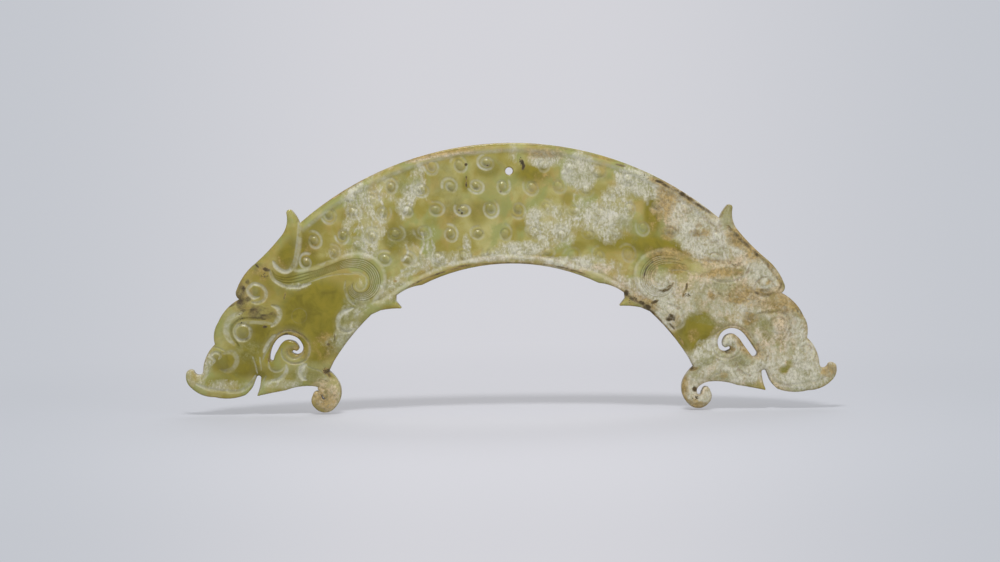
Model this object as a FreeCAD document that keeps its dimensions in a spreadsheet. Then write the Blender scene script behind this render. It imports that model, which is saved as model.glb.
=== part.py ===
"""Jade huang pendant: an arched slab of jade with a dragon head in profile at each end.

The slab stands upright. X runs along the chord, Z up to the crown and Y through the thickness, with the
carved front towards -Y. The origin is the middle of the suspension hole. Places on the face are polar:
an angle from the crown in degrees, and a share of the band's width counted from the hollow edge.
"""

import FreeCAD, Part
import math
import os

from FreeCAD import Vector
from Sketcher import Constraint

# Driving sizes in millimetres: alias, value, meaning.
SIZES = (
    ("inner_radius", 54.0, "radius of the hollow edge"),
    ("band_width", 32.4, "hollow edge to outer edge"),
    ("slab_thickness", 4.4, "front face to back face"),
    ("border_width", 1.9, "plain raised band along both edges"),
    ("field_recess", 0.35, "depth of the grain field below the border"),
    ("hole_radius", 1.0, "suspension hole"),
    ("hole_edge_distance", 7.6, "hole centre to the outer edge"),
    ("grain_radius", 2.3, "foot of a grain boss"),
    ("grain_height", 0.32, "grain boss above the field"),
    ("grain_pitch", 7.4, "grain to grain along a row"),
    ("grain_row_pitch", 5.9, "row to row"),
    ("grain_first_inset", 5.3, "outermost row below the outer edge"),
    ("slot_width", 1.5, "openwork cut of the mouth"),
    ("groove_width", 0.9, "carved line of the heads"),
    ("groove_depth", 0.3, "carved line below the face"),
    ("grain_seat", 0.05, "how far a grain's foot lies under the field"),
    ("soil_thickness", 0.3, "burial soil above the stone under it"),
    ("soil_radius", 1.0, "foot of the largest lump of soil"),
)

# Right half of the outline, clockwise from the crown. Each step is one arc: a point on its way, then its end.
# The straight steps have only their end.
outline_start_share = (0.0, 1.0)
outline_steps_share = (
    ("outer arc", (20.0, 1.0), (40.7, 1.0)),
    ("crest, inner side", (40.4, 1.047), (40.3, 1.119)),
    ("crest tip", (40.6, 1.144), (41.3, 1.134)),
    ("crest, outer side", (43.1, 1.05), (44.8, 1.028)),
    ("nape", (48.0, 1.023), (51.1, 1.038)),
    ("ear, upper side", (54.0, 1.057), (57.0, 1.042)),
    ("ear, lower side", (57.9, 1.02), (58.2, 0.983)),
    ("forehead, upper half", (60.7, 1.032), (63.6, 1.046)),
    ("forehead, lower half", (65.7, 1.038), (67.4, 0.997)),
    ("muzzle", (69.7, 1.027), (72.7, 1.016)),
    ("hollow of the nose", (73.5, 1.036), (73.2, 1.088)),
    ("nose tip", (73.1, 1.126), (74.0, 1.145)),
    ("nose, front", (75.1, 1.126), (76.0, 1.078)),
    ("upper lip, front", (76.8, 0.978), (76.7, 0.867)),
    ("upper lip, rear", (76.2, 0.728), (74.9, 0.625)),
    ("mouth corner, outer", (73.5, 0.593), (71.6, 0.582)),
    ("mouth notch, outer side", (70.5, 0.579)),
    ("mouth notch, top", (70.1, 0.563), (70.3, 0.541)),
    ("mouth notch, inner side", (71.9, 0.528), (74.5, 0.53)),
    ("jaw, front", (73.0, 0.425), (71.3, 0.312)),
    ("jaw, rear", (69.2, 0.205), (68.0, 0.112)),
    ("curl stem, upper", (67.8, 0.056), (68.1, 0.013)),
    ("curl stem, lower", (68.9, -0.016), (69.8, -0.021)),
    ("curl hollow", (70.4, -0.011), (69.9, 0.012)),
    ("curl hook", (69.0, 0.041)),
    ("curl tip", (69.0, 0.07), (70.3, 0.087)),
    ("curl, outer side", (72.1, 0.082), (73.5, 0.041)),
    ("curl, foot", (74.1, -0.042), (72.1, -0.117)),
    ("curl, inner side", (67.8, -0.136), (64.4, -0.083)),
    ("curl shoulder", (63.2, -0.029), (62.4, 0.04)),
    ("neck notch", (59.6, 0.044)),
    ("throat", (51.6, 0.04), (42.6, 0.04)),
    ("barb, root", (39.9, 0.015)),
    ("barb, lower side", (37.6, -0.024), (34.6, -0.083)),
    ("barb, upper side", (34.8, -0.005)),
    ("barb pocket", (33.8, 0.033)),
    ("inner arc, end", (30.4, 0.031), (26.1, 0.0)),
    ("inner arc", (13.0, 0.0), (0.0, 0.0)),
    ("middle of the arch", (0.0, 1.0)),
)

# End of the grain field, from the outer border to the inner one: the edge of the crest and the plume.
field_end_steps_share = (
    ("beside the crest", (44.8, 0.855), (47.5, 0.772)),
    ("root of the plume", (47.4, 0.71)),
    ("over the plume", (44.6, 0.61), (40.6, 0.54)),
    ("behind the plume", (37.6, 0.506), (35.6, 0.445)),
    ("round the plume's scroll", (33.7, 0.32), (35.0, 0.195)),
    ("below the scroll", (36.1, 0.15), (37.2, 0.105)),
)
field_outer_end_share = 42.3
field_inner_bend_share = (31.6, 0.085)
field_inner_end_share = 26.1

# Slot of the right mouth: a start, then a point on its way and an end for every arc of its middle line.
mouth_line_share = ((66.3, 0.501), (64.2, 0.53), (61.4, 0.505), (59.9, 0.43), (61.0, 0.335))

# Carved lines of the right head, as the corners that each one passes.
head_lines_share = (
    ("crest_line", ((41.3, 1.01), (43.3, 0.903), (45.4, 0.827), (46.9, 0.786), (48.4, 0.787), (49.5, 0.833),
                    (49.7, 0.925))),
    ("plume_line", ((50.9, 0.848), (50.3, 0.735), (48.0, 0.655), (44.1, 0.561), (39.7, 0.505), (36.2, 0.444),
                    (34.6, 0.36), (34.3, 0.27), (35.4, 0.185), (37.6, 0.148), (39.8, 0.152), (42.1, 0.188),
                    (43.2, 0.261))),
    ("plume_foot_line", ((51.2, 0.897), (52.1, 0.807), (51.2, 0.69), (48.6, 0.602), (45.4, 0.53), (42.0, 0.44),
                         (38.9, 0.352))),
    ("scroll_line", ((42.1, 0.333), (42.1, 0.274), (41.2, 0.221), (39.0, 0.195), (37.5, 0.23), (37.0, 0.291),
                     (37.9, 0.356))),
    ("ear_line", ((57.8, 0.88), (56.9, 0.813), (55.2, 0.809), (54.2, 0.872), (54.8, 0.949), (56.3, 0.961),
                  (56.9, 0.885), (56.0, 0.849))),
    ("brow_line", ((56.4, 0.722), (56.6, 0.65), (57.6, 0.617), (58.9, 0.613), (59.9, 0.633))),
    ("eye_line", ((59.1, 0.692), (60.7, 0.804), (62.3, 0.901), (63.6, 0.925), (64.9, 0.908), (66.4, 0.811))),
    ("mouth_rim", ((65.1, 0.598), (63.9, 0.6), (62.0, 0.583), (59.7, 0.537), (58.6, 0.44), (58.6, 0.34),
                   (59.7, 0.282), (61.2, 0.253), (62.8, 0.253), (64.4, 0.281), (65.4, 0.328), (64.8, 0.433))),
    ("nostril_line", ((71.2, 0.965), (70.2, 0.995), (69.3, 0.974), (69.2, 0.931), (70.0, 0.92))),
    ("lip_line", ((75.9, 0.976), (75.8, 0.82), (75.0, 0.674), (73.4, 0.614), (71.1, 0.589))),
    ("jaw_line", ((64.2, 0.237), (65.6, 0.259), (67.0, 0.24), (67.6, 0.189))),
    ("cheek_line", ((45.6, 0.181), (48.0, 0.213), (50.4, 0.2), (51.6, 0.142), (50.3, 0.067))),
)
eye_place_share = (63.7, 0.818)
eye_ring_shares = (2.1, 2.9)
eye_ring_sides_share = 14

# Rows of grains on the right half: row number, angles of the first and the last grain.
grain_rows_share = (
    (0, 5.3, 41.8),
    (1, 2.85, 42.3),
    (2, 2.3, 32.9),
    (3, 4.0, 30.8),
    (4, 2.4, 24.5),
)
grain_sides_share = 12

lump_sides_share = 7

# Patches of soil: node name, whether they lie in the sunken field, then lumps as angle, share of the band and
# share of the largest lump's foot.
soil_patches_share = (
    ("soil_left_forehead", False, ((-59.6, 0.93, 1.0), (-61.0, 0.9, 0.9), (-61.9, 0.84, 0.7))),
    ("soil_left_plume", False, ((-52.4, 0.93, 0.7), (-51.6, 0.91, 0.5))),
    ("soil_left_neck", False, ((-62.4, 0.075, 0.8), (-63.3, 0.065, 0.6))),
    ("soil_crown_vein", True, ((2.1, 0.87, 0.45), (2.3, 0.84, 0.45), (2.1, 0.81, 0.5))),
    ("soil_right_rim", False, ((24.6, 0.969, 0.9), (25.6, 0.969, 0.7), (26.5, 0.969, 0.8))),
    ("soil_right_barb", False, ((35.2, 0.037, 0.7), (36.4, 0.034, 0.8), (37.6, 0.034, 0.7))),
    ("soil_right_scroll", False, ((46.8, 0.36, 0.6), (46.2, 0.335, 0.5))),
    ("soil_right_curl", False, ((70.9, -0.04, 0.7), (70.2, -0.055, 0.5))),
)

doc = FreeCAD.newDocument("jade_huang")
sheet = doc.addObject("Spreadsheet::Sheet", "Sizes")
for row, (alias, number, meaning) in enumerate(SIZES, start=1):
    sheet.set("A%d" % row, str(number))
    sheet.setAlias("A%d" % row, alias)
    sheet.set("B%d" % row, meaning)
doc.recompute()


def size(alias):
    """The number in the sheet's cell of that name."""
    return float(sheet.get(alias))


def total(terms):
    """The value of a sum of named sizes, given as {alias: factor}."""
    return sum(factor * size(alias) for alias, factor in terms.items())


def formula(terms):
    """The same sum as an expression on the sheet."""
    return " + ".join("%.9f * Sizes.%s" % (factor, alias) for alias, factor in terms.items())


class Spot:
    """A point of the face, as one sum of named sizes across and one up, counted from the arch's centre."""

    def __init__(self, across, up):
        self.across = across
        self.up = up

    @classmethod
    def polar(cls, angle, radial):
        """A spot at an angle from the crown, with its radius as {alias: factor}."""
        turn = math.radians(angle)
        return cls(
            {alias: factor * math.sin(turn) for alias, factor in radial.items()},
            {alias: factor * math.cos(turn) for alias, factor in radial.items()},
        )

    @classmethod
    def on_band(cls, angle, share):
        """A spot at a share of the band's width, counted from the hollow edge."""
        return cls.polar(angle, {"inner_radius": 1.0, "band_width": share})

    def moved(self, direction, alias, factor):
        """This spot, moved by a factor of a named size along a direction."""
        across = dict(self.across)
        up = dict(self.up)
        across[alias] = across.get(alias, 0.0) + factor * direction.x
        up[alias] = up.get(alias, 0.0) + factor * direction.y
        return Spot(across, up)

    def point(self):
        """The spot's place in the plane of a sketch."""
        return Vector(total(self.across), total(self.up), 0)


def band_steps(steps):
    """Turns a table of named steps into steps of spots."""
    return [[Spot.on_band(*place) for place in places] for _, *places in steps]


def on_plane(body, feature, role, offset=None):
    """Attaches a sketch or a primitive flat to one of its body's origin planes."""
    plane = next(part for part in body.Origin.OriginFeatures if part.Role == role)
    feature.AttachmentSupport = [(plane, "")]
    feature.MapMode = "FlatFace"
    if offset:
        feature.setExpression("AttachmentOffset.Base.z", formula(offset))
    return plane


def bind(sketch, rules):
    """Adds constraints to a sketch in one go, each (kind, elements, terms), and ties their values to the sheet."""
    numbers = sketch.addConstraint([Constraint(kind, *elements, total(terms)) for kind, elements, terms in rules])
    for number, (_, _, terms) in zip(numbers, rules):
        sketch.setExpression("Constraints[%d]" % number, formula(terms))


def face_sketch(body, name, start, steps, offset=None):
    """A sketch on the face's plane with one closed outline."""
    sketch = body.newObject("Sketcher::SketchObject", name)
    on_plane(body, sketch, "XZ_Plane", offset)
    draw(sketch, start, steps)
    return sketch


def draw(sketch, start, steps):
    """Adds a closed outline to a sketch, through steps of one spot (straight) or two (an arc)."""
    places = []
    links = []
    ends = []
    here = start.point()
    for step in steps:
        there = step[-1].point()
        if len(step) == 1:
            edge = sketch.addGeometry(Part.LineSegment(here, there))
        else:
            middle = step[0].point()
            edge = sketch.addGeometry(Part.Arc(here, middle, there))
            via = sketch.addGeometry(Part.Point(middle), True)
            links.append(Constraint("PointOnObject", via, 1, edge))
            places.append((via, 1, step[0]))
        enters, leaves = sorted((1, 2), key=lambda end: sketch.getPoint(edge, end).distanceToPoint(here))
        ends.append((edge, enters, leaves))
        places.append((edge, leaves, step[-1]))
        here = there
    for (edge, enters, leaves), (following, enters, _) in zip(ends, ends[1:] + ends[:1]):
        links.append(Constraint("Coincident", edge, leaves, following, enters))
    sketch.addConstraint(links)
    bind(sketch, [
        (kind, (-1, 1, geometry, end), terms)
        for geometry, end, spot in places
        for kind, terms in (("DistanceX", spot.across), ("DistanceY", spot.up))
    ])


def sides_of_line(places, width, rounded):
    """The two sides of a line of that width along the places, and the spots of its ends."""
    spots = [Spot.on_band(*place) for place in places]
    points = [spot.point() for spot in spots]
    before = [points[1] * 2 - points[2]] if rounded else [points[0]]
    after = [points[-2] * 2 - points[-3]] if rounded else [points[-1]]
    left = []
    right = []
    for spot, back, on in zip(spots, before + points[:-1], points[1:] + after):
        along = (on - back).normalize()
        left.append(spot.moved(Vector(-along.y, along.x, 0), width, 1 / 2))
        right.append(spot.moved(Vector(along.y, -along.x, 0), width, 1 / 2))
    first = spots[0].moved((points[0] - points[1]).normalize(), width, 1 / 2)
    last = spots[-1].moved((points[-1] - points[-2]).normalize(), width, 1 / 2)
    return left, right, first, last


def slot_steps(places, width):
    """The outline of a slot of even width with round ends, both sides in arcs: its first spot and its steps."""
    left, right, first, last = sides_of_line(places, width, True)
    right.reverse()
    steps = [list(pair) for pair in zip(left[1::2], left[2::2])]
    steps.append([last, right[0]])
    steps += [list(pair) for pair in zip(right[1::2], right[2::2])]
    steps.append([first, left[0]])
    return left[0], steps


def carved_steps(places, width):
    """The outline of a carved line that runs out to a point at both ends: its first spot and its steps."""
    left, right, _, _ = sides_of_line(places, width, False)
    start = Spot.on_band(*places[0])
    corners = left[1:-1] + [Spot.on_band(*places[-1])] + right[-2:0:-1] + [start]
    return start, [[corner] for corner in corners]


def regular_steps(middle, alias, factor, sides):
    """The corners of a regular polygon round a spot, its radius a factor of a named size."""
    turns = [2 * math.pi * number / sides for number in range(sides)]
    corners = [middle.moved(Vector(math.cos(turn), math.sin(turn), 0), alias, factor) for turn in turns]
    return corners[-1], [[corner] for corner in corners]


def bore_sketch(body, name, place, radius, offset):
    """A sketch of one circle round a spot, its radius a sum of named sizes."""
    sketch = body.newObject("Sketcher::SketchObject", name)
    on_plane(body, sketch, "XZ_Plane", offset)
    circle = sketch.addGeometry(Part.Circle(place.point(), Vector(0, 0, 1), total(radius)))
    bind(sketch, [
        ("DistanceX", (-1, 1, circle, 3), place.across),
        ("DistanceY", (-1, 1, circle, 3), place.up),
        ("Radius", (circle,), radius),
    ])
    return sketch


def pocket(body, name, sketch, depth=None):
    """Cuts a sketch into the face, to a depth or right through."""
    cut = body.newObject("PartDesign::Pocket", name)
    cut.Profile = sketch
    if depth:
        cut.setExpression("Length", formula(depth))
    else:
        cut.Type = "ThroughAll"
    body.Tip = cut
    return cut


def mirror_all(body, name, role):
    """Adds the mirror image of all that the body has, in one of its origin planes."""
    mirrored = body.newObject("PartDesign::Mirrored", name)
    mirrored.TransformMode = "Whole shape"
    mirrored.MirrorPlane = (next(part for part in body.Origin.OriginFeatures if part.Role == role), [""])
    body.Tip = mirrored
    return mirrored


FRONT = {"slab_thickness": 0.5}
FIELD_OUTER = {"inner_radius": 1.0, "band_width": 1.0, "border_width": -1.0}
FIELD_INNER = {"inner_radius": 1.0, "border_width": 1.0}
CENTRE_TO_HOLE = {"inner_radius": 1.0, "band_width": 1.0, "hole_edge_distance": -1.0}


def add_half_slab(body):
    """Half of the slab's thickness on the right side of the crown, with the openwork mouth."""
    outline = face_sketch(body, "half_outline", Spot.on_band(*outline_start_share), band_steps(outline_steps_share))
    slab = body.newObject("PartDesign::Pad", "half_slab")
    slab.Profile = outline
    slab.setExpression("Length", formula(FRONT))
    body.Tip = slab
    doc.recompute()
    start, steps = slot_steps(mouth_line_share, "slot_width")
    pocket(body, "mouth_opening", face_sketch(body, "mouth_line", start, steps, FRONT))


def add_head_lines(body):
    """The carved lines of the head and the ring round its eye."""
    for name, places in head_lines_share:
        start, steps = carved_steps(places, "groove_width")
        pocket(body, name, face_sketch(body, name + "_sketch", start, steps, FRONT), {"groove_depth": 1.0})
    eye = Spot.on_band(*eye_place_share)
    inner, outer = (regular_steps(eye, "groove_width", share, eye_ring_sides_share) for share in eye_ring_shares)
    ring = face_sketch(body, "eye_ring_sketch", *outer, FRONT)
    draw(ring, *inner)
    pocket(body, "eye_ring", ring, {"groove_depth": 1.0})


def add_field(body):
    """The sunken field between the plain borders, ended by the edge of the crest and the plume."""
    start = Spot.polar(0.0, FIELD_OUTER)
    steps = [[Spot.polar(field_outer_end_share / 2, FIELD_OUTER), Spot.polar(field_outer_end_share, FIELD_OUTER)]]
    steps += band_steps(field_end_steps_share)
    steps.append([Spot.on_band(*field_inner_bend_share), Spot.polar(field_inner_end_share, FIELD_INNER)])
    steps.append([Spot.polar(field_inner_end_share / 2, FIELD_INNER), Spot.polar(0.0, FIELD_INNER)])
    steps.append([start])
    pocket(body, "grain_field", face_sketch(body, "field_outline", start, steps, FRONT), {"field_recess": 1.0})


def add_grains(body):
    """Low grain bosses in rows that follow the arch."""
    axis = next(part for part in body.Origin.OriginFeatures if part.Role == "Y_Axis")
    for row, first, last in grain_rows_share:
        radius = {
            "inner_radius": 1.0, "band_width": 1.0, "grain_first_inset": -1.0, "grain_row_pitch": -float(row)
        }
        place = Spot.polar(first, radius)
        grain = body.newObject("PartDesign::AdditivePrism", "grain_%d" % row)
        grain.Refine = False
        grain.Polygon = grain_sides_share
        on_plane(body, grain, "XZ_Plane", {"slab_thickness": 0.5, "field_recess": -1.0, "grain_seat": -1.0})
        grain.setExpression("AttachmentOffset.Base.x", formula(place.across))
        grain.setExpression("AttachmentOffset.Base.y", formula(place.up))
        grain.setExpression("Circumradius", formula({"grain_radius": 1.0}))
        grain.setExpression("Height", formula({"grain_height": 1.0, "grain_seat": 1.0}))
        body.Tip = grain
        pitch = math.degrees(size("grain_pitch") / total(radius))
        grains = body.newObject("PartDesign::PolarPattern", "grain_row_%d" % row)
        grains.Refine = False
        grains.Originals = [grain]
        grains.Axis = (axis, [""])
        grains.Angle = last - first
        grains.Occurrences = 1 + round((last - first) / pitch)
        body.Tip = grains
        doc.recompute()


def jade_slab():
    """The whole carved stone."""
    body = doc.addObject("PartDesign::Body", "Slab")
    body.Label = "jade_slab"
    add_half_slab(body)
    add_head_lines(body)
    add_field(body)
    doc.recompute()
    add_grains(body)
    mirror_all(body, "both_heads", "YZ_Plane")
    doc.recompute()
    mirror_all(body, "both_faces", "XZ_Plane")
    doc.recompute()
    place = Spot.polar(0.0, CENTRE_TO_HOLE)
    hole = bore_sketch(body, "hole_sketch", place, {"hole_radius": 1.0}, FRONT)
    pocket(body, "suspension_hole", hole)
    body.setExpression("Placement.Base.z", formula({alias: -f for alias, f in CENTRE_TO_HOLE.items()}))
    return body


def soil_patch(name, sunken, lumps):
    """Low lumps of burial soil that sit on the front of the stone and run into each other."""
    parts = []
    drop = {alias: -factor for alias, factor in CENTRE_TO_HOLE.items()}
    level = {"slab_thickness": -0.5, "field_recess": float(sunken)}
    for number, (angle, share, foot_share) in enumerate(lumps):
        lump = doc.addObject("Part::Prism", "%s_lump_%d" % (name, number))
        lump.Polygon = lump_sides_share
        place = Spot.on_band(angle, share)
        lump.setExpression("Circumradius", formula({"soil_radius": foot_share}))
        lump.setExpression("Height", formula({"soil_thickness": 1.0}))
        lump.Placement = FreeCAD.Placement(Vector(), FreeCAD.Rotation(Vector(1, 0, 0), 90))
        lump.setExpression("Placement.Base.x", formula(place.across))
        lump.setExpression("Placement.Base.y", formula(level))
        lump.setExpression("Placement.Base.z", "%s + %s" % (formula(place.up), formula(drop)))
        parts.append(lump)
    patch = doc.addObject("Part::MultiFuse", name + "_patch")
    patch.Shapes = parts
    patch.Label = name
    return patch


nodes = [jade_slab()]
nodes += [soil_patch(*patch) for patch in soil_patches_share]
doc.recompute()

for part in doc.Objects:
    if "Invalid" in part.State or "Error" in part.State:
        raise RuntimeError("%s is %s" % (part.Name, part.State))
os.makedirs("parts", exist_ok=True)
for node in nodes:
    if node.Shape.isNull() or not node.Shape.isValid():
        raise RuntimeError("%s has no valid shape" % node.Label)
    node.Shape.exportStep("parts/%s.step" % node.Label)
    print(node.Label, len(node.Shape.Solids), round(node.Shape.Volume, 2))
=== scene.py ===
"""Looks of the jade huang pendant: a carved slab of olive jade, partly altered to white and tan.

The slab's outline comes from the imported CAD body. Its relief is a height field over the face: rounded
edges, a sunken field with grain bosses, and the carved lines of the two dragon heads. Crusts of burial
soil lie on its front. Places on the face are read off a tracing of the front, whose squares are
Tracing.step wide.
"""

import logging
import math
from dataclasses import dataclass, replace
from enum import Enum

import bpy
import numpy as np
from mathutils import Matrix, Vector


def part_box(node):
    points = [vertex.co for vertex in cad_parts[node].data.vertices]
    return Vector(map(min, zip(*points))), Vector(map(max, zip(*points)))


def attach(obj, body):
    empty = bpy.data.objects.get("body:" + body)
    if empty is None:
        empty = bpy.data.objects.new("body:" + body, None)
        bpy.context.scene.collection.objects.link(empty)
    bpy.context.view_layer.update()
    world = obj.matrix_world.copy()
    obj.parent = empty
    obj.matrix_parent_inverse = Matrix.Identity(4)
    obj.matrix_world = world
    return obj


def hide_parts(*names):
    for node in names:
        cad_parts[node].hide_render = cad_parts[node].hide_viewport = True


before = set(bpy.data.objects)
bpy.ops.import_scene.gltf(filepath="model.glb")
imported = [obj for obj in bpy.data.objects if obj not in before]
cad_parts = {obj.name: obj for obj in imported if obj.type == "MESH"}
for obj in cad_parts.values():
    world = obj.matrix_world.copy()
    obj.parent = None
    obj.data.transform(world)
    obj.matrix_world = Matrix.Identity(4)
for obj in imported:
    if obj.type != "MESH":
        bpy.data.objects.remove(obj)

LOG = logging.getLogger("jade_huang")
MM = 0.001
SEED = 7
NO_TAPER = 1e-6

Colour = tuple[float, float, float]
Place = tuple[float, float]
Source = float | tuple[float, ...] | bpy.types.NodeSocket


@dataclass(frozen=True)
class Tracing:
    """The grid that places on the face are read off."""

    step: float = 0.2687 * MM
    centre: Place = (512.4, 464.4)
    tilt: float = 0.0119
    centre_height: float = -78.8 * MM

    def place(self, x: float, y: float) -> Place:
        """Turns squares of the tracing into the pendant's frame.

        Args:
            x: Squares to the right.
            y: Squares down.

        Returns:
            X and Z in metres.
        """
        across = x - self.centre[0]
        up = self.centre[1] - y
        right = (across + self.tilt * up) * self.step
        high = (up - self.tilt * across) * self.step + self.centre_height
        return right, high

    def line(self, points: tuple[Place, ...]) -> np.ndarray:
        """Turns a run of places into an array of X and Z."""
        return np.array([self.place(*point) for point in points])


class Side(Enum):
    """Which dragon head a mark belongs to."""

    LEFT = -1
    RIGHT = 1


class Mark(Enum):
    """The marks on the face, named as the attributes that carry them into the shader."""

    CALCITE = "calcite"
    CREAM = "cream"
    BROWN = "brown"
    CLEAR = "clear"
    GREEN = "green"
    SOIL = "soil"
    PALE = "pale"
    HAIR = "hair"
    CORE = "core"
    CAVITY = "cavity"
    EDGE = "edge"


@dataclass(frozen=True)
class SlabSizes:
    """Sizes of the carved slab in metres."""

    thickness: float = 4.4 * MM
    inner_radius: float = 54.0 * MM
    outer_radius: float = 86.4 * MM
    border_width: float = 1.9 * MM
    field_recess: float = 0.26 * MM
    field_slope: float = 1.3 * MM
    field_reach: float = 3 * MM
    edge_radius: float = 0.42 * MM
    face_inset: float = 0.12 * MM
    grain_radius: float = 2.5 * MM
    boss_share: float = 0.46
    grain_height: float = 0.34 * MM
    grain_groove: float = 0.1 * MM
    grain_line: float = 0.5 * MM
    grain_turns: float = 1.7
    hole_radius: float = 1.0 * MM
    slot_clearance: float = 2.8 * MM
    slot_reach: float = 5 * MM
    rim_reach: float = 4 * MM
    mesh_step: float = 0.155 * MM

    def drop(self, rim: np.ndarray) -> np.ndarray:
        """Works out the rounding of the edges.

        Args:
            rim: Distance to the outline, positive inside.

        Returns:
            How far the rounding lies below the face there.
        """
        radius = self.edge_radius
        near = np.clip(radius - rim, 0, radius)
        return radius - np.sqrt(radius**2 - near**2)


@dataclass(frozen=True)
class HeadCarving:
    """How the lines of the heads are cut; widths in squares of the tracing, depths in millimetres.

    The right head is worn, so its lines have a share of the left's depth. A plume has dark hair lines, every
    other one of which starts some points later, and pale strands between them.
    """

    stroke_depth: float = 0.85
    dark_strength: float = 0.45
    right_wear: float = 0.68
    right_ring_wear: float = 0.35
    right_hair_start: float = 0.45
    hair_lines: int = 6
    hair_late_start: int = 5
    hair_width: float = 1.1
    hair_depth: float = 0.09
    hair_taper: float = 0.06
    hair_late_taper: float = 0.1
    hair_strength: float = 0.7
    strand_start: int = 8
    strand_width: float = 0.9
    strand_taper: float = 0.2
    strand_strength: float = 0.5


@dataclass(frozen=True)
class HandWork:
    """How uneven the hand-cut faces are, and what counts as a hollow or an edge."""

    waves: int = 60
    wave_length: float = 9 * MM
    wave_height: float = 0.012 * MM
    hollow_reach: float = 0.55 * MM
    hollow_depth: float = 0.1 * MM
    edge_reach: float = 0.5 * MM


@dataclass(frozen=True)
class Stroke:
    """One carved line of a head.

    Attributes:
        points: Places of its middle line on the tracing.
        width: Full width in squares of the tracing.
        depth: Depth in millimetres.
        pale: How pale the worked stone is in it, 0 to 1.
        taper: Share of its length over which each end runs out.
    """

    points: tuple[Place, ...]
    width: float
    depth: float = 0.26
    pale: float = 0.75
    taper: float = 0.16


@dataclass(frozen=True)
class Trace:
    """A soft line of colour.

    Attributes:
        points: Places of its middle line on the tracing.
        width: How far it reaches to each side, in squares.
        strength: How strong it is, 0 to 1.
    """

    points: tuple[Place, ...]
    width: float
    strength: float


@dataclass(frozen=True)
class Blob:
    """A soft patch of colour.

    Attributes:
        x: Squares to the right on the tracing.
        y: Squares down.
        across: How far it reaches to each side.
        down: How far it reaches up and down.
        strength: How strong it is; below 0 it clears what lies there.
        turn: Degrees that it is turned by.
    """

    x: float
    y: float
    across: float
    down: float
    strength: float
    turn: float = 0.0


def blobs(*rows: tuple[float, ...]) -> tuple[Blob, ...]:
    """Turns rows of numbers into blobs."""
    return tuple(Blob(*row) for row in rows)


def traces(*rows: tuple[tuple[Place, ...], float, float]) -> tuple[Trace, ...]:
    """Turns rows into soft lines."""
    return tuple(Trace(*row) for row in rows)


def ring(x: float, y: float, radius: float) -> tuple[Place, ...]:
    """Places of a circle on the tracing."""
    turns = np.linspace(0, 2 * math.pi, 48)
    return tuple((x + radius * math.cos(turn), y + radius * math.sin(turn)) for turn in turns)


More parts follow.
